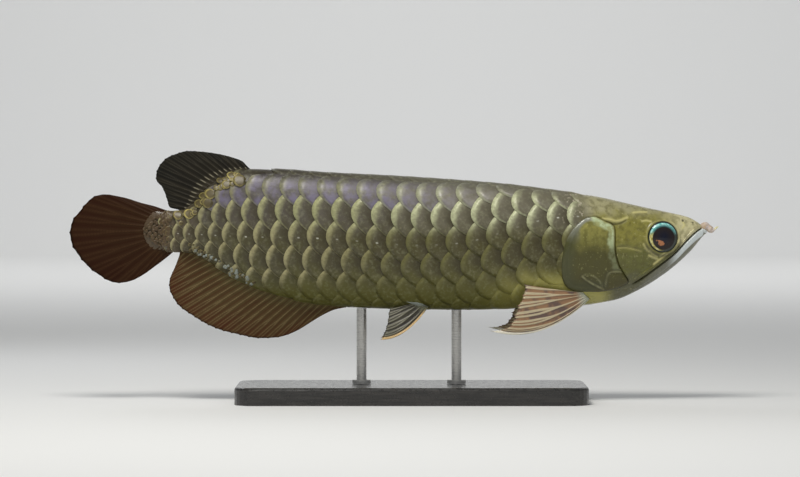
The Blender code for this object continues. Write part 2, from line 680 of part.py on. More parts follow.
def add_gill_cover(name, side):
    """Bony plate over the gills, rounded at its edge, with its seams and the lobe at its lower corner."""
    outline = cover_outline(RECESS_WALL + GAP)
    sheet = Sheet(outline, [COVER_ROUND] * len(outline))
    sheet.add_line(moved_aside(outline + outline[:1], 2.2)[:-1], COVER_PROUD, closed=True)
    add_seam(sheet, COVER_LOBE, -SEAM_DEPTH, base=COVER_PROUD)
    add_seam(sheet, COVER_SEAM, SEAM_DEPTH, base=COVER_PROUD)
    sheet.add_dots(FILL_STEP, COVER_PROUD)
    return skin_plate(name, sheet, -COVER_SUNK, side, COLOURS["gill_cover"], SATIN)


def add_eye(name, side):
    """Eyeball as the dome that shows, with the part of it that sits in the socket."""
    radius = EYE_RADIUS - RECESS_WALL - GAP
    sheet = Sheet(circle(radius), [EYE_EDGE_LIFT] * EYE_SIDES)
    for share in (0.8, 0.5):
        height = EYE_EDGE_LIFT + EYE_BULGE * (1 - share**2)
        sides = EYE_SIDES if share > 0.6 else EYE_SIDES // 2
        sheet.add_line(circle(radius * share, sides), height, closed=True)
    sheet.add_line([unrolled(EYE_X, EYE_Z)], EYE_EDGE_LIFT + EYE_BULGE)
    return skin_plate(name, sheet, -EYE_SOCKET_DEPTH + GAP, side, COLOURS["eye"], GLOSSY)


def add_barbel(name, side):
    """Fleshy barbel on the chin, thick at its root and drawn out to a thread."""
    path = smooth_line(BARBEL_PATH, 0.2)
    path = resampled(path, count=BARBEL_STEPS)
    radius_at = through([(i / (len(BARBEL_RADIUS) - 1), r) for i, r in enumerate(BARBEL_RADIUS)])
    bm = bmesh.new()
    rings = []
    for i, (x, y, z) in enumerate(path):
        before, after = path[max(i - 1, 0)], path[min(i + 1, len(path) - 1)]
        along = Vector(after) - Vector(before)
        if i == 0:
            along = Vector((1.0, 0.0, 0.0))
        along.normalize()
        across = along.cross(Vector((0, 0, 1))).normalized()
        upward = across.cross(along)
        radius = radius_at(i / BARBEL_STEPS)
        ring = []
        for k in range(BARBEL_SIDES):
            turn = 2 * math.pi * k / BARBEL_SIDES
            spot = Vector((x, y, z)) + (across * math.cos(turn) + upward * math.sin(turn)) * radius
            ring.append(bm.verts.new(Vector((spot.x, side * spot.y, spot.z)) * MM))
        rings.append(ring)
    for low, high in zip(rings, rings[1:]):
        for k in range(BARBEL_SIDES):
            bm.faces.new((low[k - 1], low[k], high[k], high[k - 1]))
    bm.faces.new(rings[0])
    bm.faces.new(rings[-1])
    return add_node(name, bm, COLOURS["barbel"], SATIN)


def fin_mesh(lines):
    """A closed fin from its lines of rays and membrane, each line a list of (middle, half thickness)."""
    bm = bmesh.new()
    faces = {}
    for side in (RIGHT, LEFT):
        faces[side] = [
            [bm.verts.new((middle + Vector((0.0, side * half, 0.0))) * MM) for middle, half in line] for line in lines
        ]
    right, left = faces[RIGHT], faces[LEFT]
    for grid in (right, left):
        for first, second in zip(grid, grid[1:]):
            for k in range(len(first) - 1):
                bm.faces.new((first[k], first[k + 1], second[k + 1]))
                bm.faces.new((first[k], second[k + 1], second[k]))
    for line in (0, -1):
        for k in range(len(lines[0]) - 1):
            bm.faces.new((right[line][k], right[line][k + 1], left[line][k + 1], left[line][k]))
    for k in (0, -1):
        for i in range(len(lines) - 1):
            bm.faces.new((right[i][k], right[i + 1][k], left[i + 1][k], left[i][k]))
    return bm


def fin_half(is_ray, along, root_half):
    """Half thickness of a ray or of the membrane between two rays, at a share of its length."""
    ray = FIN_TIP_HALF + (root_half - FIN_TIP_HALF) * (1 - along) ** 1.4
    return ray if is_ray else max(MEMBRANE_HALF, ray * MEMBRANE_SHARE)


def add_median_fin(name, root, margin, rays, sweep, root_halves, colour):
    """A fin on the midline; root and margin are side-view lines from front to back."""
    count = 2 * rays
    along = [0.0]
    for start, end in zip(margin, margin[1:]):
        along.append(along[-1] + math.dist(start, end))
    lines = []
    for i in range(count + 1):
        share = i / count
        is_ray = i % 2 == 0
        root_point = Vector(root[i])
        margin_point = Vector(point_along(margin, along, along[-1] * share**sweep))
        reach = 1.0 if is_ray else 1.0 - MEMBRANE_NOTCH
        line = []
        for station in FIN_STATIONS:
            flat = root_point.lerp(margin_point, station * reach)
            line.append((Vector((flat.x, 0.0, flat.y)), fin_half(is_ray, station, root_halves(share))))
        lines.append(line)
    return add_node(name, fin_mesh(lines), colour, SATIN)


def add_dorsal_fin():
    start, end = DORSAL_ROOT_X
    xs = [start + (end - start) * i / (2 * DORSAL_RAYS) for i in range(2 * DORSAL_RAYS + 1)]
    root = [(x, back_z(x) + FIN_ROOT_GAP) for x in xs]
    margin = smooth_line(DORSAL_MARGIN, 2.0)
    return add_median_fin(
        "dorsal_fin", root, margin, DORSAL_RAYS, DORSAL_SWEEP, lambda share: FIN_ROOT_HALF, COLOURS["dorsal_fin"]
    )


def add_anal_fin():
    start, end = ANAL_ROOT_X
    xs = [start + (end - start) * i / (2 * ANAL_RAYS) for i in range(2 * ANAL_RAYS + 1)]
    root = [(x, belly_z(x) - FIN_ROOT_GAP) for x in xs]
    margin = smooth_line(ANAL_MARGIN, 2.0)
    return add_median_fin(
        "anal_fin", root, margin, ANAL_RAYS, ANAL_SWEEP, lambda share: FIN_ROOT_HALF, COLOURS["anal_fin"]
    )


def add_tail_fin():
    """Rounded tail fin; its root follows the scaled end of the body."""
    edge = moved_aside(clipped(smooth_line(TAIL_EDGE)), -FIN_ROOT_GAP)
    root = resampled(edge, count=2 * TAIL_RAYS)
    margin = smooth_line(TAIL_MARGIN, 2.0)

    def root_half(share):
        return 0.6 + 1.9 * math.sin(math.pi * share) ** 0.7

    return add_median_fin("tail_fin", root, margin, TAIL_RAYS, 1.0, root_half, COLOURS["tail_fin"])


def add_paired_fin(name, side, root, tips, sag, flare, colour):
    """A fin that fans out from the flank: rays sag and stand out most at the leading edge."""
    rays = len(tips) - 1
    lines = []
    for i in range(2 * rays + 1):
        share = i / (2 * rays)
        is_ray = i % 2 == 0
        start = Vector(root[0]).lerp(Vector(root[1]), share)
        tip = Vector(tips[i // 2]).lerp(Vector(tips[min(i // 2 + 1, rays)]), 0.0 if is_ray else 0.5)
        reach = 1.0 if is_ray else 1.0 - 2 * MEMBRANE_NOTCH
        bend = sag[0] + (sag[1] - sag[0]) * min(1.6 * share, 1.0)
        out = flare[0] + (flare[1] - flare[0]) * share
        root_y = skin_y(*start)
        thick = PAIRED_ROOT_HALF * (PAIRED_LEADING if i == 0 else 1.0)
        line = []
        for station in PAIRED_STATIONS:
            t = station * reach
            flat = start.lerp(tip, t) - Vector((0.0, 4 * bend * t * (1 - t)))
            half = fin_half(is_ray, station, thick)
            y = root_y + GAP + PAIRED_ROOT_HALF + out * t**0.85
            y = max(y, skin_y(flat.x, flat.y) + half + PAIRED_CLEAR)
            line.append((Vector((flat.x, side * y, flat.y)), half))
        lines.append(line)
    return add_node(name, fin_mesh(lines), colour, SATIN)


def add_base():
    """Flat plate with rounded corners and an eased upper edge."""
    bm = bmesh.new()
    bmesh.ops.create_cube(bm, size=1.0)
    bmesh.ops.scale(bm, vec=Vector((BASE_LENGTH, BASE_WIDTH, BASE_HEIGHT)) * MM, verts=bm.verts)
    bmesh.ops.translate(bm, vec=Vector((BASE_CENTRE_X, 0.0, BASE_HEIGHT / 2)) * MM, verts=bm.verts)
    upright = [edge for edge in bm.edges if abs(edge.verts[0].co.z - edge.verts[1].co.z) > BASE_HEIGHT * MM / 2]
    bmesh.ops.bevel(bm, geom=upright, offset=BASE_CORNER * MM, segments=6, profile=0.5, affect="EDGES", material=-1)
    top = BASE_HEIGHT * MM
    rim = [edge for edge in bm.edges if all(abs(v.co.z - top) < 1e-6 for v in edge.verts)]
    bmesh.ops.bevel(bm, geom=rim, offset=BASE_EDGE * MM, segments=2, profile=0.5, affect="EDGES", material=-1)
    return add_node("stand_base", bm, COLOURS["stand_base"], GLOSSY)


def add_rod(name, x):
    """Steel rod with a collar at its foot, from the base up to the keel."""
    top = min(belly_z(x - ROD_RADIUS), belly_z(x), belly_z(x + ROD_RADIUS)) - GAP
    foot = BASE_HEIGHT + GAP
    profile = [
        (0.0, foot), (ROD_COLLAR_RADIUS, foot), (ROD_COLLAR_RADIUS, foot + ROD_COLLAR_HEIGHT),
        (ROD_RADIUS, foot + ROD_COLLAR_HEIGHT), (ROD_RADIUS, top), (0.0, top),
    ]
    bm = bmesh.new()
    corners = [bm.verts.new(Vector((x + radius, 0.0, z)) * MM) for radius, z in profile]
    edges = [bm.edges.new(pair) for pair in zip(corners, corners[1:])]
    bmesh.ops.spin(
        bm, geom=corners + edges, cent=Vector((x, 0.0, 0.0)) * MM, axis=(0.0, 0.0, 1.0), angle=2 * math.pi,
        steps=ROD_SIDES, use_merge=True,
    )
    bmesh.ops.remove_doubles(bm, verts=bm.verts, dist=1e-6)
    return add_node(name, bm, COLOURS["stand_rod"], GLOSSY, metallic=1.0)


def main():
    clear_scene()
    add_head()
    add_lower_jaw()
    add_trunk()
    add_tail_trunk()
    for mark, side in SIDES.items():
        add_gill_cover("gill_cover_" + mark, side)
        add_eye("eye_" + mark, side)
        add_barbel("barbel_" + mark, side)
        add_paired_fin(
            "pectoral_fin_" + mark, side, PECTORAL_ROOT, PECTORAL_TIPS, PECTORAL_SAG, PECTORAL_FLARE,
            COLOURS["pectoral_fin"],
        )
        add_paired_fin(
            "pelvic_fin_" + mark, side, PELVIC_ROOT, PELVIC_TIPS, PELVIC_SAG, PELVIC_FLARE, COLOURS["pelvic_fin"]
        )
    add_dorsal_fin()
    add_anal_fin()
    add_tail_fin()
    add_base()
    for place, x in ROD_XS.items():
        add_rod("stand_rod_" + place, x)


main()
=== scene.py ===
"""Looks of a still, life-size Asian arowana on its display stand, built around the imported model.

Sizes are in millimetres, in the model's frame: the fish looks along +X and its right side faces -Y.
"""

import math
import random
from bisect import bisect_left
from functools import lru_cache

import bmesh
import bpy
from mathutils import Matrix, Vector


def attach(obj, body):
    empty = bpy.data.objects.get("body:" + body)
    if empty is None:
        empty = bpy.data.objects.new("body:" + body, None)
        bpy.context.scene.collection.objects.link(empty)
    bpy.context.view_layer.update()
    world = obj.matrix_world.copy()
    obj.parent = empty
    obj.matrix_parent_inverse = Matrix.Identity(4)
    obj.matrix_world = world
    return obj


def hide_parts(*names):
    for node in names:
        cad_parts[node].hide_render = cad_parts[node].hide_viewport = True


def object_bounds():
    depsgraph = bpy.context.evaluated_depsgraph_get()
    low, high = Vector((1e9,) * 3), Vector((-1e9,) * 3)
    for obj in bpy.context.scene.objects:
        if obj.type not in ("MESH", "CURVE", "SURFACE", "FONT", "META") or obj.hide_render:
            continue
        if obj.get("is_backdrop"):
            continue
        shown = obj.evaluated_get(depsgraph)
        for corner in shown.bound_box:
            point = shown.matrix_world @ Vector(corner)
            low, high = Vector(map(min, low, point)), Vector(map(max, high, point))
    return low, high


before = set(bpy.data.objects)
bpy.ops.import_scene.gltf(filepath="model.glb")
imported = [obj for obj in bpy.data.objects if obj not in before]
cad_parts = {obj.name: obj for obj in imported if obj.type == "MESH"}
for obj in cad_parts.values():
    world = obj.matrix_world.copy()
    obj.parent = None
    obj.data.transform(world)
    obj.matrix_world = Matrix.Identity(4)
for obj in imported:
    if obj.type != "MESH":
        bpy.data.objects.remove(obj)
cad_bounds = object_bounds()
MM = 0.001

# Table, backdrop and studio lights. The sheet is pale card that lies flat under the stand and curves up
# far behind it. Soft boxes light the fish from above and in front, as daylight through water does.
CARD_WIDTH, CARD_FRONT, CARD_BACK, CARD_BEND, CARD_HEIGHT = 16000.0, -8000.0, 5200.0, 900.0, 4000.0
CARD_COLOUR, CARD_ROUGHNESS, BEND_STEPS = (0.82, 0.82, 0.81, 1.0), 0.85, 24
AIM, WALL_AIM = Vector((0.0, 0.0, 130.0)), Vector((0.0, 6000.0, 400.0))
LIGHTS = {
    "key": ((-180.0, -620.0, 1150.0), AIM, 500.0, 11.0, (1.0, 0.98, 0.93), True),
    "fill": ((700.0, -1500.0, 420.0), AIM, 900.0, 3.5, (0.92, 0.96, 1.0), False),
    "back": ((-500.0, 650.0, 700.0), AIM, 500.0, 1.5, (0.95, 0.97, 1.0), True),
    "wall": ((0.0, 3000.0, 3300.0), WALL_AIM, 2500.0, 85.0, (1.0, 1.0, 1.0), False),
}
SKY_COLOUR, SKY_STRENGTH = (0.9, 0.93, 0.96, 1.0), 0.26

card = bmesh.new()


def drawn_out(edge, step):
    """Draws the card on from one edge and gives the new one."""
    grown = bmesh.ops.extrude_edge_only(card, edges=[edge])["geom"]
    verts = [part for part in grown if isinstance(part, bmesh.types.BMVert)]
    bmesh.ops.translate(card, vec=Vector(step) * MM, verts=verts)
    return next(part for part in grown if isinstance(part, bmesh.types.BMEdge))


ends = [card.verts.new(Vector((x, CARD_FRONT, 0.0)) * MM) for x in (-CARD_WIDTH / 2, CARD_WIDTH / 2)]
edge = drawn_out(card.edges.new(ends), (0.0, CARD_BACK - CARD_FRONT, 0.0))
bend = bmesh.ops.spin(
    card, geom=[edge], cent=Vector((0.0, CARD_BACK, CARD_BEND)) * MM, axis=(1.0, 0.0, 0.0),
    angle=math.pi / 2, steps=BEND_STEPS,
)["geom_last"]
drawn_out(next(part for part in bend if isinstance(part, bmesh.types.BMEdge)), (0.0, 0.0, CARD_HEIGHT))
mesh = bpy.data.meshes.new("card")
card.to_mesh(mesh)
card.free()
mesh.shade_smooth()
backdrop = bpy.data.objects.new("card", mesh)
bpy.context.scene.collection.objects.link(backdrop)
paper = bpy.data.materials.new("card")
paper.use_nodes = True
paper.node_tree.nodes["Principled BSDF"].inputs["Base Color"].default_value = CARD_COLOUR
paper.node_tree.nodes["Principled BSDF"].inputs["Roughness"].default_value = CARD_ROUGHNESS
mesh.materials.append(paper)
backdrop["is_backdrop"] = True

for name, (place, target, size, power, colour, glints) in LIGHTS.items():
    light = bpy.data.lights.new(name, "AREA")
    light.shape, light.size, light.energy, light.color = "DISK", size * MM, power, colour
    lamp = bpy.data.objects.new(name, light)
    lamp.visible_glossy, lamp.visible_camera = glints, False
    lamp.location = Vector(place) * MM
    lamp.rotation_euler = (target - Vector(place)).to_track_quat("-Z", "Y").to_euler()
    bpy.context.scene.collection.objects.link(lamp)
sky = bpy.data.worlds.new("studio")
sky.use_nodes = True
sky.node_tree.nodes["Background"].inputs["Color"].default_value = SKY_COLOUR
sky.node_tree.nodes["Background"].inputs["Strength"].default_value = SKY_STRENGTH
bpy.context.scene.world = sky

# Camera, square to the right flank and level with the fish, far off on a long lens.
LENS, SENSOR = 160.0, 36.0
VIEW_WIDTH, VIEW_CENTRE, VIEW_RISE = 640.0, Vector((4.8, -2.0, 130.6)), math.radians(1.0)
distance = VIEW_WIDTH * LENS / SENSOR
camera = bpy.data.objects.new("camera", bpy.data.cameras.new("camera"))
camera.data.lens, camera.data.sensor_width = LENS, SENSOR
camera.location = (VIEW_CENTRE + distance * Vector((0.0, -math.cos(VIEW_RISE), math.sin(VIEW_RISE)))) * MM
camera.rotation_euler = (math.pi / 2 - VIEW_RISE, 0.0, 0.0)
bpy.context.scene.collection.objects.link(camera)
bpy.context.scene.camera = camera
bpy.context.scene.view_settings.view_transform = "Standard"

# Skin: one soft, slimy hide over the whole fish, from the chin to the root of the tail fin. It is a sheet of
# rings round the body, with lips, jaw edge, grooves and eye sockets pressed into it, and it lies under the
# scales by their depth.
BACK_LINE = [
    (-196, 152.9), (-175, 152.9), (-166.5, 154.2), (-160.5, 159), (-149, 172.4), (-139, 179.8),
    (-127, 185.2), (-116, 187), (-52, 183), (5, 180.1), (86, 174.2), (127, 169.2), (158, 165),
    (198, 156.2), (218, 151.9), (234.5, 148), (243, 143.6), (248.6, 138.8),
]
BELLY_LINE = [
    (-196, 119.8), (-168, 119.8), (-159, 118.2), (-151, 113.4), (-127, 97.8), (-99, 86.2), (-67, 78.4),
    (-38, 76), (0, 74.5), (56, 73.8), (125, 75.2), (157, 77.2), (178, 81.6), (198, 90.6), (219, 104.2),
    (237, 120.2), (245.5, 130.4), (248.6, 134),
]
HALF_WIDTH = [
    (-196, 3), (-188, 4.2), (-167, 8.6), (-151, 12.4), (-127, 17), (-90, 21.2), (-38, 24.4), (30, 26),
    (80, 26), (127, 25), (157, 23.4), (178, 21.4), (198, 18.6), (214, 15.8), (229, 12), (238, 9.2),
    (244.5, 6.4), (248.6, 4),
]
WIDEST_SHARE = [(-188, 0.5), (-120, 0.55), (0, 0.57), (150, 0.56), (215, 0.6), (248.6, 0.55)]
BACK_ROUNDNESS = [(-188, 2), (-120, 2.2), (0, 2.4), (150, 2.5), (220, 2.7), (248.6, 2.2)]
BELLY_ROUNDNESS = [(-188, 2), (-110, 1.75), (0, 1.85), (150, 1.95), (200, 2.1), (248.6, 2.1)]
SECTION_STEPS, AXIS_Z = 96, 136.0
CHIN_X, CHIN_ROUND = 248.6, 1.8


def through(points):
    """A smooth curve through the points, without overshoot, as a function."""
    xs, ys = zip(*points)
    steps = [(ys[i + 1] - ys[i]) / (xs[i + 1] - xs[i]) for i in range(len(xs) - 1)]
    slopes = [steps[0]]
    for before, after in zip(steps, steps[1:]):
        slopes.append(0.0 if before * after <= 0 else 2 * before * after / (before + after))
    slopes.append(steps[-1])

    def curve(x):
        x = min(max(x, xs[0]), xs[-1])
        i = max(bisect_left(xs, x), 1) - 1
        width = xs[i + 1] - xs[i]
        t = (x - xs[i]) / width
        return (
            ys[i] * (1 + 2 * t) * (1 - t) ** 2
            + slopes[i] * width * t * (1 - t) ** 2
            + ys[i + 1] * t * t * (3 - 2 * t)
            - slopes[i + 1] * width * t * t * (1 - t)
        )

    return curve


back_z, belly_z, half_width = through(BACK_LINE), through(BELLY_LINE), through(HALF_WIDTH)
widest_share, back_roundness, belly_roundness = map(through, (WIDEST_SHARE, BACK_ROUNDNESS, BELLY_ROUNDNESS))


@lru_cache(maxsize=None)
def section(x):
    """The body's section at x, from the keel up: reaches along the skin, half widths and heights."""
    bottom, top = belly_z(x), back_z(x)
    middle = bottom + widest_share(x) * (top - bottom)
    reaches, widths, heights = [0.0], [], []
    for i in range(SECTION_STEPS + 1):
        turn = math.pi * (i / SECTION_STEPS - 0.5)
        power = 2 / (back_roundness(x) if turn > 0 else belly_roundness(x))
        height = top - middle if turn > 0 else middle - bottom
        widths.append(half_width(x) * max(math.cos(turn), 0.0) ** power)
        heights.append(middle + math.copysign(height * abs(math.sin(turn)) ** power, turn))
        if i:
            reaches.append(reaches[-1] + math.hypot(widths[-1] - widths[-2], heights[-1] - heights[-2]))
    widths[0] = widths[-1] = 0.0
    i = min(max(bisect_left(heights, AXIS_Z), 1), len(heights) - 1)
    t = (AXIS_Z - heights[i - 1]) / (heights[i] - heights[i - 1])
    level = reaches[i - 1] + t * (reaches[i] - reaches[i - 1])
    return [reach - level for reach in reaches], widths, heights


def section_near(x):
    return section(round(min(max(x, BACK_LINE[0][0]), CHIN_X), 1))


def keel(x):
    return section_near(x)[0][0]


def back(x):
    return section_near(x)[0][-1]


def reach_of(x, z):
    """Distance along the section from the fish's axis to a height."""
    reaches, _, heights = section_near(x)
    z = min(max(z, heights[0]), heights[-1])
    i = min(max(bisect_left(heights, z), 1), len(heights) - 1)
    t = (z - heights[i - 1]) / max(heights[i] - heights[i - 1], 1e-9)
    return reaches[i - 1] + t * (reaches[i] - reaches[i - 1])


def skin_point(x, reach, lift=0.0, side=-1):
    """Point on one side of the body, lifted along the section's normal."""
    reaches, widths, heights = section_near(x)
    reach = min(max(reach, reaches[0]), reaches[-1])
    i = min(max(bisect_left(reaches, reach), 1), len(reaches) - 1)
    t = (reach - reaches[i - 1]) / (reaches[i] - reaches[i - 1])
    y = widths[i - 1] + t * (widths[i] - widths[i - 1])
    z = heights[i - 1] + t * (heights[i] - heights[i - 1])
    low, high = max(i - 3, 0), min(i + 2, len(reaches) - 1)
    across, up = widths[high] - widths[low], heights[high] - heights[low]
    length = math.hypot(across, up)
    return Vector((x, side * max(y + lift * up / length, 0.0), z - lift * across / length))


def even_line(line, step=None, count=None):
    """The same line with evenly spaced points."""
    along = [0.0]
    for start, end in zip(line, line[1:]):
        along.append(along[-1] + math.dist(start, end))
    count = count or max(round(along[-1] / step), 1)
    places = []
    for k in range(count + 1):
        distance = along[-1] * k / count
        i = min(max(bisect_left(along, distance), 1), len(line) - 1)
        t = (distance - along[i - 1]) / max(along[i] - along[i - 1], 1e-9)
        places.append(tuple(a + t * (b - a) for a, b in zip(line[i - 1], line[i])))
    return places


def smooth_line(points, step=1.5):
    """Points at an even step along a smooth curve through the given ones."""
    ends = [points[0], *points, points[-1]]
    dense = []
    for corners in zip(ends, ends[1:], ends[2:], ends[3:]):
        for t in (i / 12 for i in range(12)):
            dense.append(tuple(
                0.5 * (2 * b + t * (c - a) + t * t * (2 * a - 5 * b + 4 * c - d)
                       + t**3 * (3 * b - a - 3 * c + d))
                for a, b, c, d in zip(*corners)
            ))
    dense.append(tuple(points[-1]))
    return even_line(dense, step=step)


def line_distance(point, line):
    """Shortest distance from a point to a line of points."""
    best = math.inf
    px, py = point
    for (ax, ay), (bx, by) in zip(line, line[1:]):
        dx, dy = bx - ax, by - ay
        t = min(max(((px - ax) * dx + (py - ay) * dy) / max(dx * dx + dy * dy, 1e-12), 0.0), 1.0)
        best = min(best, math.hypot(px - ax - t * dx, py - ay - t * dy))
    return best


def is_within(point, outline):
    within = False
    px, py = point
    for (ax, ay), (bx, by) in zip(outline, outline[1:] + outline[:1]):
        if (ay > py) != (by > py) and px < ax + (py - ay) * (bx - ax) / (by - ay):
            within = not within
    return within


def eased(value, low, high):
    """0 below low, 1 above high, and a soft step between them."""
    t = min(max((value - low) / (high - low), 0.0), 1.0)
    return t * t * (3 - 2 * t)


def hump(distance, width):
    """1 on a line, falling off to both sides of it."""
    return math.exp(-((distance / width) ** 2))


class Value:
    """What one of a finish's nodes gives: a number or a colour that varies over the surface."""

    def __init__(self, paint, socket):
        self.paint, self.socket = paint, socket

    def math(self, operation, other=0.0):
        return self.paint.value("ShaderNodeMath", {0: self, 1: other}, operation=operation)

    def __add__(self, other):
        return self.math("ADD", other)

    def __sub__(self, other):
        return self.math("SUBTRACT", other)

    def __mul__(self, other):
        return self.math("MULTIPLY", other)

    def __truediv__(self, other):
        return self.math("DIVIDE", other)

    def __abs__(self):
        return self.math("ABSOLUTE")

    def span(self, low, high, start=0.0, end=1.0):
        """Soft step from start to end as this goes from low to high."""
        inputs = {"Value": self, "From Min": low, "From Max": high, "To Min": start, "To Max": end}
        return self.paint.value("ShaderNodeMapRange", inputs, "Result", interpolation_type="SMOOTHSTEP")


class Paint:
    """A procedural finish, with short ways to add its nodes."""

    def __init__(self, name, **settings):
        self.material = bpy.data.materials.new(name)
        self.material.use_nodes = True
        self.tree = self.material.node_tree
        self.shader = self.tree.nodes["Principled BSDF"]
        for socket, setting in settings.items():
            self.shader.inputs[socket.replace("_", " ").title().replace("Ior", "IOR")].default_value = setting
        self.place = self.value("ShaderNodeTexCoord", {}, "Object")

    def value(self, kind, inputs, output=0, **properties):
        """Adds a node, sets or links its inputs, and gives one of its outputs."""
        made = self.tree.nodes.new(kind)
        for name, setting in properties.items():
            setattr(made, name, setting)
        for key, given in inputs.items():
            if isinstance(given, Value):
                self.tree.links.new(given.socket, made.inputs[key])
            else:
                made.inputs[key].default_value = given
        return Value(self, made.outputs[output])

    def read(self, name):
        return self.value("ShaderNodeAttribute", {}, "Fac", attribute_name=name)

    def axis(self, letter):
        return self.value("ShaderNodeSeparateXYZ", {0: self.place}, letter)

    def mix(self, share, *colours):
        first, second = (given if isinstance(given, Value) else (*given, 1.0) for given in colours)
        return self.value("ShaderNodeMix", {"Factor": share, 6: first, 7: second}, 2, data_type="RGBA")

    def noise(self, scale, detail=2.0, stretch=(1.0, 1.0, 1.0)):
        spread = self.value("ShaderNodeMapping", {"Vector": self.place, "Scale": stretch})
        return self.value("ShaderNodeTexNoise", {"Vector": spread, "Scale": scale, "Detail": detail}, "Fac")

    def mottled(self, tone, dark, pale):
        """The tone with soft darker patches and sparse pale specks."""
        patches, specks = self.noise(240.0, 4.0), self.noise(560.0, 3.0)
        tone = self.mix(patches.span(0.42, 0.66, 0.0, 0.45), tone, dark)
        return self.mix(specks.span(0.6, 0.74, 0.0, 0.4), tone, pale)

    def bump(self, height, depth, below=None):
        inputs = {"Height": height, "Distance": depth * MM}
        if below:
            inputs["Normal"] = below
        return self.value("ShaderNodeBump", inputs)

    def finish(self, colour, normal=None, roughness=None):
        for name, given in (("Base Color", colour), ("Normal", normal), ("Roughness", roughness)):
            if given:
                self.tree.links.new(given.socket, self.shader.inputs[name])
        return self.material


# The lower flank's and belly's tones are partly painted shade, darker for light falling from above.
UPPER_FRONT, UPPER_REAR, FLANK_TONE, BELLY_TONE, BREAST_TONE = (
    (0.155, 0.141, 0.094), (0.085, 0.074, 0.05), (0.072, 0.063, 0.018), (0.12, 0.112, 0.024),
    (0.36, 0.33, 0.085),
)
BACK_FRONT, BACK_REAR, TAIL_ROOT_TONE = (0.12, 0.113, 0.08), (0.042, 0.035, 0.024), (0.085, 0.05, 0.024)
# The cheek's and throat's tones are partly painted shade, darker for light falling from above.
HEAD_TONE, CROWN_TONE, CHEEK_TONE, THROAT_TONE, SNOUT_TONE = (
    (0.23, 0.21, 0.042), (0.34, 0.315, 0.17), (0.115, 0.115, 0.02), (0.1, 0.098, 0.045), (0.58, 0.53, 0.3),
)
HEAD_DARK, HEAD_PALE = (0.075, 0.065, 0.012), (0.5, 0.46, 0.22)


def flank_colour(paint):
    """Colour of the body by height and length, which skin and scales share; the lower flank's and belly's
    tones are partly painted shade, darker for light falling from above.
    """
    length = paint.axis("X")
    height = paint.axis("Z") + (paint.noise(60.0, 3.0) - 0.5) * 0.012
    lower = paint.mix(height.span(0.085, 0.118), BELLY_TONE, FLANK_TONE)
    lower = paint.mix(length.span(0.06, 0.12) * height.span(0.112, 0.092), lower, BREAST_TONE)
    forward = length.span(-0.12, 0.07)
    upper = paint.mix(height.span(0.126, 0.15), lower, paint.mix(forward, UPPER_REAR, UPPER_FRONT))
    whole = paint.mix(height.span(0.164, 0.177), upper, paint.mix(forward, BACK_REAR, BACK_FRONT))
    return paint.mix(length.span(-0.2, -0.14, 0.8, 0.0), whole, TAIL_ROOT_TONE)


def head_colour(paint):
    """Golden green of the head, browner on the crown and greyer under the throat; the cheek's and throat's
    tones are partly painted shade, darker for light falling from above.
    """
    level = paint.axis("Z") + (paint.noise(95.0, 4.0) - 0.5) * 0.022
    gold = paint.mix(level.span(0.118, 0.132), CHEEK_TONE, HEAD_TONE)
    lower = paint.mix(level.span(0.094, 0.106), THROAT_TONE, gold)
    crown = paint.mix(level.span(0.143, 0.158), lower, CROWN_TONE)
    front = paint.axis("X").span(0.208, 0.232) * level.span(0.114, 0.13)
    return paint.mottled(paint.mix(front, crown, SNOUT_TONE), HEAD_DARK, HEAD_PALE)


MOUTH_LINE = [
    (-196, 126), (60, 100), (150, 90), (176, 90), (190, 94.6), (208.8, 106.8), (225, 119.6),
    (233.6, 128.8), (242.4, 136.8), (246.5, 139.4), (253, 141.8),
]
JAW_EDGE = [
    (-196, 130), (60, 105), (150, 95), (176, 95), (191.4, 98.6), (197.6, 102.6), (206.6, 109),
    (214.4, 114.8), (220.4, 117.9), (226.4, 122.6), (230.6, 128.4), (236, 134.6), (240.6, 138.6),
    (253, 143),
]
MOUTH_START, MOUTH_DEPTH, MOUTH_WIDTH = 187.0, 1.7, 0.75
LIP_BAND, LIP_LIFT, JAW_EDGE_LIFT = 7.6, 0.9, 0.8
COVER_REAR = [
    (160.6, 148.2), (151.5, 146.6), (142.4, 138.6), (136.6, 129), (133.8, 117), (133.2, 104),
    (135.8, 94.4), (142, 89.6), (151, 88.8), (163, 88.6),
]
COVER_FRONT = [
    (163, 88.6), (172, 90), (182, 93), (186.6, 96.4), (183.4, 101.8), (178.6, 110.4), (175.8, 122),
    (175.6, 134), (174.6, 141), (168, 144.6), (160.6, 148.2),
]
CHEEK_SEAM = smooth_line([(177.8, 124.4), (184, 124.6), (190.4, 123.4), (196.6, 121.8)])
NAPE_GROOVE = smooth_line([(162.6, 146.2), (167.5, 143.4), (173.6, 142.2), (179.7, 143), (184.4, 145.4)])
NAPE_STREAK = smooth_line([(165.8, 146.4), (171, 146.2), (176.2, 144.8), (181.4, 145.6), (185.6, 147.6)])
FACE_DASHES = [
    [(190.5, 151.4), (195.8, 151.9), (201.3, 151.8)], [(197.4, 144.6), (201, 145.2), (204.6, 144.4)],
    [(230.4, 144), (231.8, 141.4), (230, 139)], [(203, 117.4), (206.4, 115.8), (210.2, 114.4)],
    [(203.4, 121.4), (205.6, 118.8), (209.6, 116.4)], [(198.6, 126.6), (200.6, 123), (203.2, 120.4)],
    [(212, 117), (216.6, 120.4), (221, 125)], [(207, 110.6), (213, 115.2), (217.6, 118.4)],
]
EYE_X, EYE_Z, EYE_RADIUS, SOCKET_DEPTH = 214.2, 132.0, 12.4, 5.0
NOSTRILS = [(238.6, 143.4, 0.8), (230.6, 145, 1.15)]
SKIN_UNDER_SCALES, COVER_BED, COVER_END_X = 0.7, 1.3, 190.0
HEAD_X, HEAD_STEP, BODY_STEP, TAIL_X = 126.0, 0.62, 3.0, -194.0
TAIL_ROUND, TAIL_BEND, TAIL_HALF, TAIL_MIDDLE = 7.0, 9.0, 16.5, 136.4
BAND_CELLS = (20, 13, 2, 2, 5, 2, 76)
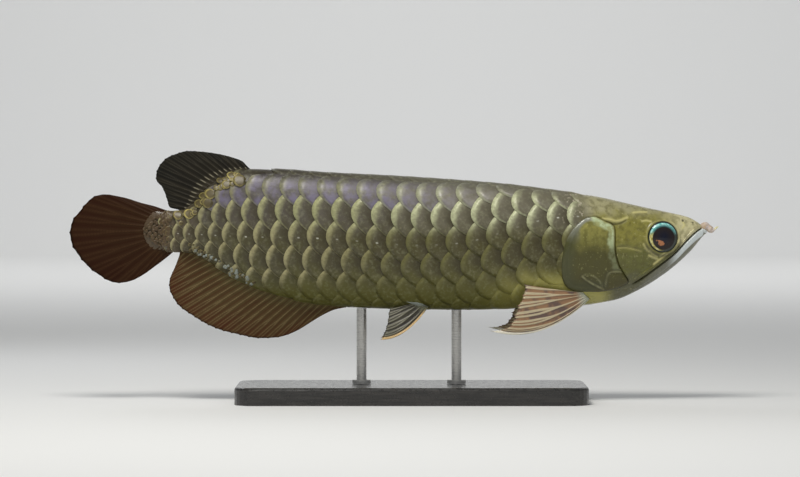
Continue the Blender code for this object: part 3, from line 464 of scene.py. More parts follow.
SKIN_LENGTH, HALF_GIRTH, AXIS_OFFSET = 450.0, 320.0, 10.0

mouth_z, jaw_edge_z = through(MOUTH_LINE), through(JAW_EDGE)
cover_front = smooth_line(COVER_FRONT)
cover_outline = smooth_line(COVER_REAR)[:-1] + cover_front[:-1]
eye_reach = reach_of(EYE_X, EYE_Z)


@lru_cache(maxsize=None)
def band_edges(x):
    """Reaches that bound the rings' bands at x: keel, lip, both sides of the mouth line, jaw edge, back."""
    mouth, jaw = reach_of(x, mouth_z(x)), reach_of(x, jaw_edge_z(x))
    edges = [keel(x), mouth - LIP_BAND - 1.0, mouth - 0.8, mouth, mouth + 0.8, jaw - 0.4, jaw + 0.4, back(x)]
    for i in range(1, len(edges)):
        edges[i] = min(max(edges[i], edges[i - 1] + 0.02), back(x))
    return edges


def ring_reach(x, cell):
    """Reach of one cell line of the rings at x, counted from the keel to the back."""
    edges = band_edges(x)
    for cells, low, high in zip(BAND_CELLS, edges, edges[1:]):
        if cell <= cells:
            return low + (high - low) * cell / cells
        cell -= cells
    return edges[-1]


def head_relief(x, reach, z):
    """Lift of the skin on the head, and how dark, how pale and how much lip it is there; the dark is painted
    shade in the mouth line, grooves, nostrils and along the gill cover's edge, with a darker patch under the
    eye.
    """
    mouth, jaw = reach_of(x, mouth_z(x)), reach_of(x, jaw_edge_z(x))
    here, below = (x, z), mouth - reach
    gape = eased(x, MOUTH_START, MOUTH_START + 8.0)
    # Painted shade in the mouth line, where the lips meet.
    dark = gape * hump(below, MOUTH_WIDTH)
    lip = gape * eased(below, 0.2, 1.4) * (1 - eased(below, LIP_BAND - 1.6, LIP_BAND))
    lift = LIP_LIFT * lip - MOUTH_DEPTH * dark
    if mouth <= reach:
        strip = (reach - mouth) / max(jaw - mouth, 0.5)
        lift += JAW_EDGE_LIFT * gape * (strip if strip < 1 else max(1 - (reach - jaw) / 0.7, 0.0))
    # Painted shade in the cheek seam and the nape groove.
    for line, depth, width, shade in ((CHEEK_SEAM, 0.35, 0.7, 0.25), (NAPE_GROOVE, 0.7, 0.8, 0.7)):
        cut = hump(line_distance(here, line), width)
        lift -= depth * cut
        dark = max(dark, shade * cut)
    pale = 0.5 * hump(line_distance((x, z + 1.0), CHEEK_SEAM), 0.7)
    for line, height, width in ((NAPE_STREAK, 0.45, 1.0), *((dash, 0.25, 0.75) for dash in FACE_DASHES)):
        streak = hump(line_distance(here, line), width)
        lift += height * streak
        pale = max(pale, streak)
    if x < COVER_END_X:
        edge = line_distance(here, cover_front)
        lift -= COVER_BED * eased(edge if is_within(here, cover_outline) else -edge, -1.1, 1.1)
        # Painted shade in the crease along the gill cover's front edge.
        dark = max(dark, 0.75 * hump(edge, 0.5))
    spread = math.hypot(x - EYE_X, reach - eye_reach)
    lift += 0.9 * hump(spread - EYE_RADIUS - 0.8, 1.3)
    lift -= SOCKET_DEPTH * eased(EYE_RADIUS + 0.6 - spread, 0.0, 3.6)
    pale = max(pale, 0.35 * hump(spread - EYE_RADIUS - 0.9, 0.7))
    under_eye = hump(spread - EYE_RADIUS - 2.6, 1.6) * eased(eye_reach - reach, 1.0, 8.0)
    dark = max(dark, 0.6 * under_eye)
    for nostril_x, nostril_z, radius in NOSTRILS:
        spread = math.hypot(x - nostril_x, reach - reach_of(nostril_x, nostril_z))
        lift += 0.35 * hump(spread - radius - 0.3, 0.6) - 1.1 * hump(spread, 0.8 * radius)
        # Painted shade in the nostril pits.
        dark = max(dark, hump(spread, 0.9 * radius))
    return lift, dark, pale, lip


def slanted(x, z):
    """Place along the body by which the scales give way to the head's skin, farther back for higher up."""
    return x + 0.25 * (z - AXIS_Z)


def tail_shift(x, z):
    """How far the rear end of the flesh is drawn forward above and below its middle."""
    return TAIL_BEND * ((z - TAIL_MIDDLE) / TAIL_HALF) ** 2 * eased(-x, 178.0, 198.0)


def new_form(*names, mapped=True):
    """An empty mesh with a number by each name on its vertices, and mostly a map named OFBake."""
    bm = bmesh.new()
    for name in names:
        bm.verts.layers.float.new(name)
    if mapped:
        bm.loops.layers.uv.new("OFBake")
    return bm


def note(bm, vert, **numbers):
    for name, number in numbers.items():
        vert[bm.verts.layers.float[name]] = number


def add_sheet(bm, columns, rows):
    """Adds a flat grid and gives its vertices with their columns and rows."""
    grid = bmesh.ops.create_grid(bm, x_segments=columns, y_segments=rows, size=1.0)["verts"]
    return [(vert, i % (columns + 1), i // (columns + 1)) for i, vert in enumerate(grid)]


def lay_out(bm, faces, bake_place):
    """Puts the faces' corners at their vertices' places on the map named OFBake."""
    bake_map = bm.loops.layers.uv["OFBake"]
    for face in faces:
        for loop in face.loops:
            loop[bake_map].uv = bake_place[loop.vert]


def close_holes(bm):
    bmesh.ops.holes_fill(bm, edges=[edge for edge in bm.edges if edge.is_boundary], sides=0)


def add_piece(name, bm, material, slot, *replaces):
    """Turns a bmesh into a piece that rides on the fish."""
    bmesh.ops.recalc_face_normals(bm, faces=bm.faces)
    mesh = bpy.data.meshes.new(name)
    bm.to_mesh(mesh)
    bm.free()
    mesh.shade_smooth()
    mesh.materials.append(material)
    piece = bpy.data.objects.new(name, mesh)
    bpy.context.scene.collection.objects.link(piece)
    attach(piece, "root")
    if replaces:
        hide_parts(*replaces)


ring_xs = [TAIL_X - TAIL_ROUND * math.cos(math.pi * k / 12) for k in range(6)]
ring_xs += [TAIL_X + BODY_STEP * i for i in range(int((HEAD_X - TAIL_X) / BODY_STEP))]
ring_xs += [HEAD_X + HEAD_STEP * i for i in range(int((CHIN_X - HEAD_X) / HEAD_STEP) + 1)]
ring_xs += [CHIN_X + CHIN_ROUND * math.sin(math.pi * k / 8) for k in range(1, 5)]
half_ring = sum(BAND_CELLS)
hide = new_form("dark", "pale", "lip", "jaw", "head")
bake_place = {}
for vert, column, row in add_sheet(hide, len(ring_xs) - 1, 2 * half_ring):
    x = ring_xs[column]
    side, cell = (-1, row) if row <= half_ring else (1, 2 * half_ring - row)
    root_x = min(x, CHIN_X)
    reach = ring_reach(root_x, cell)
    flat = skin_point(root_x, reach)
    lift, dark, pale, lip = head_relief(root_x, reach, flat.z) if root_x > HEAD_X else (0.0, 0.0, 0.0, 0.0)
    head_share = eased(slanted(root_x, flat.z), 150.0, 166.0)
    point = skin_point(root_x, reach, lift - SKIN_UNDER_SCALES * (1 - head_share), side)
    if x > CHIN_X:
        closing = math.sqrt(max(1 - ((x - CHIN_X) / CHIN_ROUND) ** 2, 0.0))
        middle = Vector((x, 0.0, (back_z(CHIN_X) + belly_z(CHIN_X)) / 2))
        point = middle + closing * (Vector((x, point.y, point.z)) - middle)
    if x < TAIL_X:
        point.y *= math.sqrt(max(1 - ((TAIL_X - x) / TAIL_ROUND) ** 2, 0.0))
    point.x += tail_shift(x, point.z)
    if cell in (0, half_ring):
        point.y = 0.0
    vert.co = point * MM
    jaw = eased(root_x, 188.0, 212.0) * eased(reach_of(root_x, mouth_z(root_x)) - reach, -1.0, 1.5)
    note(hide, vert, dark=dark, pale=pale, lip=lip, jaw=jaw, head=head_share)
    away = 0.25 + (reach + AXIS_OFFSET) / HALF_GIRTH
    bake_place[vert] = ((x - TAIL_X) / SKIN_LENGTH * 0.98 + 0.01, 0.5 + side * away)
lay_out(hide, hide.faces, bake_place)
bmesh.ops.remove_doubles(hide, verts=hide.verts, dist=0.005 * MM)
bmesh.ops.dissolve_degenerate(hide, edges=hide.edges, dist=0.004 * MM)
close_holes(hide)

LIP_TONE, GROOVE_SHADE_TONE, STREAK_TONE, JAW_TONE = (
    (0.68, 0.73, 0.72), (0.02, 0.018, 0.006), (0.66, 0.6, 0.25), (0.17, 0.168, 0.13),
)
paint = Paint("wet_hide", roughness=0.36, coat_weight=0.25, coat_roughness=0.15, specular_ior_level=0.4)
tone = paint.mix(paint.read("head"), flank_colour(paint), head_colour(paint))
tone = paint.mix(paint.read("jaw") * 0.85, tone, JAW_TONE)
tone = paint.mix(paint.read("pale") * 0.75, tone, STREAK_TONE)
tone = paint.mix(paint.read("lip") * paint.axis("X").span(0.216, 0.23), tone, LIP_TONE)
# Painted shade in the head's creases and pits.
tone = paint.mix(paint.read("dark"), tone, GROOVE_SHADE_TONE)
normal = paint.bump(paint.noise(120.0, 2.0), 0.25, paint.bump(paint.noise(700.0, 3.0), 0.12))
sheen = paint.noise(180.0, 3.0).span(0.3, 0.7, 0.24, 0.42)
hide_material = paint.finish(tone, normal, sheen)
add_piece("skin", hide, hide_material, "head_skin", "head", "lower_jaw", "trunk", "tail_trunk")

# Scales: thin, horny plates rooted in the skin, each lying over the ones behind it like roof tiles. Each is a
# small sheet with thickness, longer than what shows of it, set along the lateral line in slanting rows.
LATERAL_LINE = [
    (-196, 135.5), (-160, 134.2), (-115, 132.2), (-75, 131.6), (-43, 130.2), (-11, 127.2), (18, 125.6),
    (49, 126.8), (69, 130.6), (85, 135.6), (101, 141), (121, 146.4), (141, 148.4),
]
ROW_SPACING = [(-196, 9.5), (-155, 13.5), (-115, 18.5), (-75, 20), (165, 20)]
COLUMN_AT = [(-200, 25), (-164, 20.5), (-112, 16), (9.4, 8), (137.4, 0), (185, -3)]
SCALE_LEAN, SCALE_HALF_HEIGHT, FULL_ROW, SCALE_BOW = 0.24, 0.8, 20.0, 0.5 / (0.72**2 - 0.28**2)
SCALE_LENGTH, SCALE_THICK, SCALE_TUCK, SADDLE_TUCK, BACK_TUCK = 1.85, 0.25, 0.9, 1.5, 0.9
FLANK_SCALE, BACK_SCALE, SMALL_SCALE = (-1.0, 1.7, 0.4), (-0.5, 1.0, 0.2), (-1.2, 2.1, 0.7)
SCALE_STATIONS, SMALL_STATIONS = (0.0, 0.45, 0.84, 1.0), (0.0, 0.25, 0.5, 0.8, 1.0)
SCALE_CELLS, SMALL_CELLS = 11, 6
SADDLE_HALF, SADDLE_BOW, SADDLE_CLEAR, SADDLE_PROUD, SADDLE_FADE = 16.0, 0.55, 9.0, 0.55, 0.55
SADDLE_STRETCHES, REAR_SCALE_X = ((-186.0, -170.0), (-108.0, 150.0)), -192.0
ROWS, COLUMNS = range(-6, 5), range(-4, 27)
COAT_LENGTH, PATCH, SMALL_PATCH = 460.0, (13.0 * 0.85, 18.0 * 0.85), (0.003, 0.003)
GILL_TOP, GILL_FOOT, GILL_TUCK = (148.0, 147.0), (93.0, 122.0), 7.0
SCALE_MARKS = ("along", "across", "tint", "row", "faint")
SIDES = (("R", -1), ("L", 1))

lateral_z, row_spacing, column_at = through(LATERAL_LINE), through(ROW_SPACING), through(COLUMN_AT)
cover_rear = smooth_line(COVER_REAR)
draw = random.Random(7)


@lru_cache(maxsize=None)
def column_x(column):
    low, high = COLUMN_AT[0][0], COLUMN_AT[-1][0]
    for _ in range(40):
        middle = (low + high) / 2
        low, high = (middle, high) if column_at(middle) > column else (low, middle)
    return low


def scale_spot(row, column, rise, behind):
    """Place on the unrolled skin, rise rows above a scale's middle and behind its rear edge."""
    place = column + 0.5 * row + SCALE_LEAN * (row + rise) - SCALE_BOW * rise * rise + behind
    x = column_x(round(place, 3))
    return x, reach_of(x, lateral_z(x)) + (row + rise) * row_spacing(x)


def widening(along):
    """Width of a scale from its root to its free edge."""
    return 0.82 + 0.18 * math.sqrt(along)


def faintness(x, reach, z):
    """How far the scales' marks fade: on the belly, above the breast, along the back and at the nape."""
    low = max(1 - eased(z, 84.0, 108.0), eased(x, 80.0, 135.0) * (1 - eased(z, 104.0, 126.0)))
    high = 0.8 * eased(reach, back(x) - 23.0, back(x) - 13.0) * eased(x, -115.0, -100.0)
    return max(low, high, eased(slanted(x, z), 142.0, 160.0))


def add_scale(bm, spot, size, tint, row, shape=FLANK_SCALE, proud=0.0, plain=0.0, patch=None):
    """One scale; spot gives the place and side for across, -1 to 1, and along, 0 at its root to 1."""
    root, rise, crown = shape
    cells, stations = (SMALL_CELLS, SMALL_STATIONS) if shape is SMALL_SCALE else (SCALE_CELLS, SCALE_STATIONS)
    grid = add_sheet(bm, cells, len(stations) - 1)
    faces = list({face for vert, _, _ in grid for face in vert.link_faces})
    bulge = draw.uniform(0.98, 1.02)
    root_x, root_reach, root_side = spot(0.0, 0.5)
    bake_wide, bake_high = patch or (PATCH[0] * size / COAT_LENGTH, PATCH[1] * size / HALF_GIRTH)
    bake_place = {}
    for vert, column, station in grid:
        across, along = 2 * column / cells - 1, stations[station]
        x, reach, side = spot(across, along)
        z = skin_point(x, reach).z
        faint = max(faintness(x, reach, z), plain)
        lift = root + rise * along * bulge + crown * (1 - across * across) * along
        lift = lift * (1 - 0.55 * faint) - 0.2 * eased(along, 0.9, 1.0)
        lift -= 1.3 * eased(slanted(x, z), 148.0, 163.0)
        if shape is FLANK_SCALE:
            lift -= BACK_TUCK * eased(reach, back(x) - 8.0, back(x) - 1.0)
            lift -= SCALE_TUCK * eased(abs(across), 0.78, 1.0) * along
        if shape is BACK_SCALE:
            lift -= SADDLE_TUCK * eased(abs(across), 0.4, 1.0) + 1.2 * eased(-x, 88.0, 106.0)
        vert.co = skin_point(x, reach, proud + lift * size, side) * MM
        vert.co.x += tail_shift(x, vert.co.z / MM) * MM
        note(bm, vert, along=along, across=across, tint=tint, row=row, faint=faint)
        away = 0.25 + (root_reach + AXIS_OFFSET) / HALF_GIRTH + 0.5 * across * bake_high
        u = 0.01 + (root_x - TAIL_X + 8.0) / COAT_LENGTH - (along - 0.5) * bake_wide
        bake_place[vert] = (u, 0.5 + root_side * away)
    lay_out(bm, faces, bake_place)
    for part in (*faces, *bake_place):
        part.normal_update()
    for part in bmesh.ops.extrude_face_region(bm, geom=faces, use_keep_orig=True)["geom"]:
        if isinstance(part, bmesh.types.BMVert):
            part.co += part.normal * root_side * SCALE_THICK * size * MM


def gill_x(z):
    """Where the scales start at a height, just under the gill cover's rear edge."""
    if z > GILL_TOP[0]:
        return GILL_TOP[1]
    if z < GILL_FOOT[0]:
        return GILL_FOOT[1]
    return min(x for x, edge_z in cover_rear if abs(edge_z - z) < 1.6) + GILL_TUCK


RIM_TONE, LOW_RIM_TONE, UPPER_RIM_TONE, REAR_RIM_TONE, PORE_TONE, ROOT_SHADE_TONE, DUSK_TONE = (
    (0.56, 0.58, 0.35), (0.15, 0.142, 0.05), (0.4, 0.4, 0.2), (0.42, 0.38, 0.2), (0.6, 0.6, 0.5),
    (0.04, 0.032, 0.012), (0.05, 0.04, 0.02),
)
LILAC_SHEEN_TONE, GREY_LILAC_SHEEN_TONE, CRUMB_HIGHLIGHT_TONE = (0.17, 0.15, 0.23), (0.25, 0.232, 0.21), (0.5, 0.43, 0.34)


def scale_finish():
    """Horn over a pearly layer: dusky middle, pale golden rim, a painted lilac sheen along the back, bright
    pores, and painted shade towards each scale's root.
    """
    paint = Paint("scales", roughness=0.42, metallic=0.08, coat_weight=0.1, coat_roughness=0.3,
                  specular_ior_level=0.3)
    along, across, tint, row, faint = map(paint.read, SCALE_MARKS)
    height, length, clear = paint.axis("Z"), paint.axis("X"), faint * -1.0 + 1.0
    grain, cloud = paint.noise(420.0, 3.0), paint.noise(150.0, 2.0)
    tone = paint.mix((length + height * 0.25).span(0.18, 0.2), flank_colour(paint), head_colour(paint))
    tone = paint.mix(clear * tint.span(0.0, 1.0, 0.0, 0.28), tone, DUSK_TONE)
    tone = paint.mix(grain.span(0.45, 0.75, 0.0, 0.14), tone, RIM_TONE)
    # Painted sheen: the scales' pearly lilac play of light on the upper rows is painted in as a fixed colour,
    # in clouds.
    lilac = row.span(1.0, 2.0, 0.1, 1.0) * row.span(3.0, 2.6) * cloud.span(0.3, 0.66, 0.2, 1.0) * clear
    lilac_sheen_tone = paint.mix(length.span(-0.02, 0.08), LILAC_SHEEN_TONE, GREY_LILAC_SHEEN_TONE)
    tone = paint.mix(lilac * 0.75, tone, lilac_sheen_tone)
    # Painted shade: each scale darkens towards its root, in clouds, where the scale ahead lies over it; part
    # of the dark is the scale's own pigment. It is weaker on the upper rows.
    root = (along - across * 0.1).span(0.76, 0.5) * cloud.span(0.3, 0.6, 0.7, 1.0)
    tone = paint.mix(root * height.span(0.14, 0.165, 1.0, 0.45) * clear * 0.75, tone, ROOT_SHADE_TONE)
    # The pale rim is the scales' own edge colour; it is painted wider and brighter on each scale's upper
    # side, partly as painted highlight where light from above catches the edge.
    wide = across.span(-0.6, 0.35, 0.9, 0.7) + height.span(0.15, 0.12, 0.0, 0.06)
    rim = along.span(wide, 0.985) * across.span(-0.95, -0.1, 0.5, 1.0) * grain.span(0.3, 0.6, 0.65, 1.0)
    rim_tone = paint.mix(length.span(0.02, -0.1), LOW_RIM_TONE, REAR_RIM_TONE)
    upper_rim_tone = paint.mix(length.span(-0.06, 0.05), UPPER_RIM_TONE, RIM_TONE)
    rim_tone = paint.mix(height.span(0.13, 0.15), rim_tone, upper_rim_tone)
    rim_tone = paint.mix(length.span(-0.08, -0.15, 0.0, 0.7), rim_tone, REAR_RIM_TONE)
    tone = paint.mix(rim * clear * row.span(1.4, 2.2, 1.0, 0.55), tone, rim_tone)
    # Painted highlights: pale crumbs of glare on the scales at the nape.
    highlight_crumbs = paint.noise(420.0, 2.0).span(0.6, 0.7, 0.0, 0.6)
    tone = paint.mix(highlight_crumbs * length.span(0.128, 0.138) * height.span(0.14, 0.148), tone, CRUMB_HIGHLIGHT_TONE)
    pore = along.span(0.66, 0.69) * along.span(0.75, 0.72) * abs(across).span(0.05, 0.02)
    pore = pore * abs(row).span(0.5, 0.4) * clear * tint.span(0.0, 1.0, 0.15, 0.8)
    tone = paint.mix(pore, tone, PORE_TONE)
    spread = paint.value("ShaderNodeCombineXYZ", {"X": across / (along + 0.3), "Y": along, "Z": tint})
    waves = {"Vector": spread, "Scale": 3.4, "Distortion": 3.0, "Detail": 2.0, "Detail Scale": 3.0}
    normal = paint.bump(paint.value("ShaderNodeTexWave", waves, "Fac"), 0.025)
    rings = paint.value("ShaderNodeCombineXYZ", {"X": along - across * across * 0.1})
    waves = {"Vector": rings, "Scale": 12.0, "Distortion": 0.6}
    normal = paint.bump(paint.value("ShaderNodeTexWave", waves, "Fac"), 0.015, normal)
    return paint.finish(tone, paint.bump(grain, 0.14, normal), grain.span(0.3, 0.7, 0.36, 0.5))


scale_material = scale_finish()
for mark, side in SIDES:
    coat = new_form(*SCALE_MARKS)
    for row in ROWS:
        for column in COLUMNS:
            x, reach = scale_spot(row, column, 0.0, 0.0)
            size = row_spacing(x) / FULL_ROW
            if not keel(x) - 3.0 < reach < back(x) - SADDLE_CLEAR * size or x < REAR_SCALE_X:
                continue
            if x > gill_x(skin_point(x, reach).z):
                continue

            def spot(across, along, row=row, column=column, side=side):
                rise = SCALE_HALF_HEIGHT * across * widening(along)
                return *scale_spot(row, column, rise, -(1 - along) * SCALE_LENGTH), side

            add_scale(coat, spot, size, draw.random(), row)
    add_piece("scales_" + mark, coat, scale_material, "body_scales")

# One more row sits astride the back, from the nape to the dorsal fin and again behind it. Its scales are of
# the same horn, and bend down on both sides until they slip under the rows beside them.
saddles = new_form(*SCALE_MARKS)
for column in COLUMNS:
    x = column_x(column)
    if not any(low <= x <= high for low, high in SADDLE_STRETCHES):
        continue

    def spot(across, along, column=column):
        at = column_x(round(column - SADDLE_BOW * across * across - (1 - along) * SCALE_LENGTH, 3))
        wide = SADDLE_HALF * row_spacing(at) / FULL_ROW * widening(along)
        return at, back(at) - abs(across) * wide, -1 if across <= 0 else 1

    size = row_spacing(x) / FULL_ROW
    add_scale(saddles, spot, size, draw.random(), 3.0, BACK_SCALE, SADDLE_PROUD, SADDLE_FADE)
add_piece("scales_back", saddles, scale_material, "body_scales")

# Small scales: rounded grains of horn that cover the root of the tail fin, run along the base of the dorsal
# fin, golden, and along the rear base of the anal fin, bluish white. They lie over the skin and the large
# scales' ends.
GRAIN_GOLD, GRAIN_BROWN, GRAIN_WHITE = (0.5, 0.42, 0.14), (0.07, 0.052, 0.02), (0.3, 0.33, 0.29)
TAIL_GRAIN_TONE = (0.075, 0.042, 0.018)
DORSAL_GRAINS = [
    (-123, 176.6, 9), (-129.6, 180.6, 6.6), (-133.4, 173.6, 6.4), (-139, 176.4, 4.8), (-146.6, 166, 7.6),
    (-153, 164.4, 5.2), (-148.6, 158.8, 7.2), (-156, 158.2, 6), (-163.6, 150, 7.2), (-172.6, 149, 6.6),
]
TAIL_GRAIN_COLUMNS, TAIL_GRAIN_ROWS, TAIL_GRAIN_HALF = 9, 8, (22.0, 16.0)
FLAP_SIZE, FLAP_TINT, FLAP_PROUD = 0.6, 0.95, 1.2


def add_grain(bm, x, z, long, side, proud):
    """A small round scale whose middle is at x and z."""
    middle = reach_of(x, z)

    def spot(across, along):
        ahead = 1 - 2 * along
        wide, far = math.sqrt(1 - ahead * ahead / 2), math.sqrt(1 - across * across / 2)
        return x + 0.6 * long * ahead * far, middle + 0.58 * long * across * wide, side

    add_scale(bm, spot, 0.2 + long / 16.0, draw.random(), 0.0, SMALL_SCALE, proud, 0.0, SMALL_PATCH)


def scatter_along(line, low, high, count):
    """Places in a band beside a line, low to high away from it."""
    for _ in range(count):
        x, z = line[int(draw.random() * (len(line) - 1))]
        yield x + draw.uniform(-1.5, 1.5), z + draw.uniform(low, high)


grains = new_form(*SCALE_MARKS)
for side in (-1, 1):
    for k in range(TAIL_GRAIN_COLUMNS):
        for i in range(TAIL_GRAIN_ROWS):
            x = -180.0 - 2.5 * k + draw.uniform(-0.7, 0.7)
            z = 121.5 + 4.2 * (i + 0.5 * (k % 2)) + draw.uniform(-0.7, 0.7)
            if math.hypot((x + 178.0) / TAIL_GRAIN_HALF[0], (z - TAIL_MIDDLE) / TAIL_GRAIN_HALF[1]) < 1:
                add_grain(grains, x, z, draw.uniform(3.2, 4.6) - 0.18 * k, side, 0.5)
    dorsal_foot = [(-118.0 - i, back_z(-118.0 - i) - 4.0) for i in range(68)]
    for x, z in scatter_along(dorsal_foot, -7.0, 0.0, 46):
        add_grain(grains, x, z, draw.uniform(1.8, 4.2), side, 1.0)
    for x, z, long in DORSAL_GRAINS:
        add_grain(grains, x, z, long, side, 1.3)

    def flap(across, along, side=side):
        """A pointed flap of skin over the root of the pelvic fin."""
        x, wide = 27.0 - 17.0 * along, 2.3 * math.sin(math.pi * min(0.12 + along, 1.0))
        return x, reach_of(x, 76.6 + 4.6 * along) + wide * across, side

    add_scale(grains, flap, FLAP_SIZE, FLAP_TINT, 0.0, SMALL_SCALE, FLAP_PROUD, 0.0, SMALL_PATCH)
    anal_foot = [(-112.0 - i, belly_z(-112.0 - i) + 3.0) for i in range(54)]
    for x, z in scatter_along(anal_foot, -1.0, 5.5, 50):
        add_grain(grains, x, z, draw.uniform(1.5, 3.0), side, 0.9)

paint = Paint("small_scales", roughness=0.42, coat_weight=0.1, coat_roughness=0.3, metallic=0.08)
along, across, tint = map(paint.read, ("along", "across", "tint"))
middle = (along - 0.45) * 2.0
shine = (across * across + middle * middle).span(0.45, 0.95, 0.08, 1.0) * tint.span(0.0, 1.0, 0.3, 1.0)
tone = paint.mix(shine, GRAIN_BROWN, GRAIN_GOLD)
tone = paint.mix(paint.axis("X").span(-0.186, -0.166, 0.9, 0.0), tone, TAIL_GRAIN_TONE)
tone = paint.mix(paint.axis("Z").span(0.126, 0.118) * tint.span(0.2, 0.7), tone, GRAIN_WHITE)
# Painted shade: each grain darkens towards its root, where it tucks into the skin.
tone = paint.mix(along.span(0.35, 0.1, 0.0, 0.6), tone, ROOT_SHADE_TONE)
small_material = paint.finish(tone, paint.bump(paint.noise(900.0, 2.0), 0.12))
add_piece("scales_small", grains, small_material, "body_scales")

# Gill covers: bony plates hinged in front, hidden under skin, with a soft blue-grey fringe along the free
# rear edge. Each is a round of rings drawn in from its outline, with its underside closed.
COVER_SPOKES, COVER_RINGS, COVER_CENTRE = 150, 34, (158.0, 118.0)
COVER_LIFT = through([(0.0, 1.9), (0.7, 1.9), (0.86, 1.8), (0.95, 1.55), (0.98, 1.25), (1.0, 0.75)])
COVER_TOP = [0.98 * k / COVER_RINGS for k in range(COVER_RINGS + 1)] + [1.0]
COVER_UNDER = [(0.995, 0.2), (0.96, -0.4), (0.6, -0.8), (0, -0.8)]
COVER_LOBE = smooth_line([(149.6, 101.4), (153.6, 98.2), (159, 95), (166.4, 91.4)])
COVER_LOBE_TOP = smooth_line([(149.6, 101.4), (152.6, 103), (158, 101.8), (163.2, 98), (166.4, 91.4)])
COVER_SEAM = smooth_line([(168.2, 93.4), (169.2, 99), (170.8, 103.6), (175, 104.9), (180.8, 104.7)])
COVER_BLUE, COVER_PALE, COVER_FRINGE, COVER_GOLD, COVER_SHADE, COVER_DUSK, COVER_EDGE = (
    (0.16, 0.175, 0.08), (0.5, 0.58, 0.33), (0.058, 0.06, 0.018), (0.28, 0.26, 0.065), (0.066, 0.06, 0.008),
    (0.062, 0.052, 0.007), (0.26, 0.27, 0.24),
)
COVER_DARK, COVER_SPECK, COVER_LINE = (0.06, 0.055, 0.01), (0.42, 0.42, 0.16), (0.36, 0.35, 0.18)
cover_rings = [(share, COVER_LIFT(share), False) for share in COVER_TOP]
cover_rings += [(share, lift, True) for share, lift in COVER_UNDER]
cover_rear_line = smooth_line(COVER_REAR, 3.0)
unrolled = [(x, reach_of(x, z)) for x, z in cover_outline + cover_outline[:1]]
plate_outline = even_line(unrolled, count=COVER_SPOKES)
plate_centre = (COVER_CENTRE[0], reach_of(*COVER_CENTRE))


def cover_finish():
    """Bone under skin: gold above, dusky below, a pale blue band in front and the lines of its seams, with
    painted shade in its creases.
    """
    paint = Paint("gill_plate", roughness=0.34, coat_weight=0.25, coat_roughness=0.15, specular_ior_level=0.4,
                  metallic=0.08)
    level = paint.axis("Z") + (paint.noise(70.0, 4.0, (1.0, 1.0, 0.5)) - 0.5) * 0.03
    tone = paint.mix(level.span(0.116, 0.142), COVER_SHADE, COVER_GOLD)
    tone = paint.mix(level.span(0.106, 0.09, 0.0, 0.6), tone, COVER_DUSK)
    tone = paint.mottled(tone, COVER_DARK, COVER_SPECK)
    band_tone = paint.mix(level.span(0.118, 0.136), COVER_BLUE, COVER_PALE)
    broken = paint.noise(230.0, 3.0).span(0.34, 0.56, 0.35, 1.0)
    tone = paint.mix(paint.read("band") * broken, tone, band_tone)
    fringe_tone = paint.mix(level.span(0.126, 0.142), COVER_FRINGE, COVER_EDGE)
    tone = paint.mix(paint.read("fringe") * 0.85, tone, fringe_tone)
    tone = paint.mix(paint.read("pale") * broken * 0.6, tone, COVER_LINE)
    # Painted shade in the plate's creases.
    tone = paint.mix(paint.read("dark"), tone, GROOVE_SHADE_TONE)
    normal = paint.bump(paint.noise(260.0, 3.0, (1.0, 1.0, 0.35)), 0.3)
    return paint.finish(tone, paint.bump(paint.noise(900.0, 2.0), 0.08, normal))


def cover_marks(here):
    """Relief and marks of the gill cover's outer face at a place."""
    to_front, to_rear = line_distance(here, cover_front), line_distance(here, cover_rear_line)
    lobe, lobe_top = line_distance(here, COVER_LOBE), line_distance(here, COVER_LOBE_TOP)
    seam, z = line_distance(here, COVER_SEAM), here[1]
    upper, soft, clear_of_front = eased(z, 103.0, 110.0), eased(z, 126.0, 142.0), eased(to_front, 2.0, 6.0)
    wobble = 0.7 * math.sin(0.55 * z) + 0.4 * math.sin(1.7 * z)
    band = upper * eased(to_front, 0.5, 1.3) * (1 - eased(to_front, 4.0 + wobble, 6.6 + wobble))
    fringe = (1 - eased(to_rear, 5.0 - 3.0 * soft, 13.0 - 9.0 * soft)) * clear_of_front
    crisp = 0.8 * hump(to_front - 1.0, 0.5) * eased(z, 118.0, 130.0)
    pale = max(hump(lobe, 0.7), 0.6 * hump(lobe_top, 0.6), 0.8 * hump(seam, 0.55), crisp)
    # Painted shade: dark in the crease along the front edge, beside the raised lobe and in the dip beside the
    # seam.
    dark = max(0.55 * hump(to_front, 0.5), 0.4 * hump(lobe - 1.5, 0.6), 0.3 * hump(seam - 1.3, 0.6))
    lift = 0.5 * hump(lobe, 1.0) + 0.35 * hump(lobe_top, 0.9) - 0.4 * hump(seam - 1.0, 0.7)
    lift -= 0.35 * hump(to_rear - 4.6, 0.9) * clear_of_front + 0.3 * hump(to_front - 7.4, 1.2) * upper
    return lift, {"band": band, "fringe": fringe, "pale": pale, "dark": dark}


cover_material = cover_finish()
for mark, side in SIDES:
    plate = new_form("band", "fringe", "pale", "dark")
    bake_place = {}
    for vert, spoke, ring in add_sheet(plate, COVER_SPOKES, len(cover_rings) - 1):
        share, lift, under = cover_rings[ring]
        x, reach = (a + share * (b - a) for a, b in zip(plate_centre, plate_outline[spoke]))
        relief, marks = (0.0, {}) if under else cover_marks((x, skin_point(x, reach).z))
        vert.co = skin_point(x, reach, lift + relief, side) * MM
        note(plate, vert, **marks)
        turn = 2 * math.pi * spoke / COVER_SPOKES
        out = 0.48 + 0.04 * (ring - COVER_RINGS) if under else 0.46 * share
        bake_place[vert] = (0.5 + out * math.cos(turn), 0.5 + out * math.sin(turn))
    lay_out(plate, plate.faces, bake_place)
    bmesh.ops.remove_doubles(plate, verts=plate.verts, dist=0.01 * MM)
    add_piece("gill_plate_" + mark, plate, cover_material, "gill_plate", "gill_cover_" + mark)

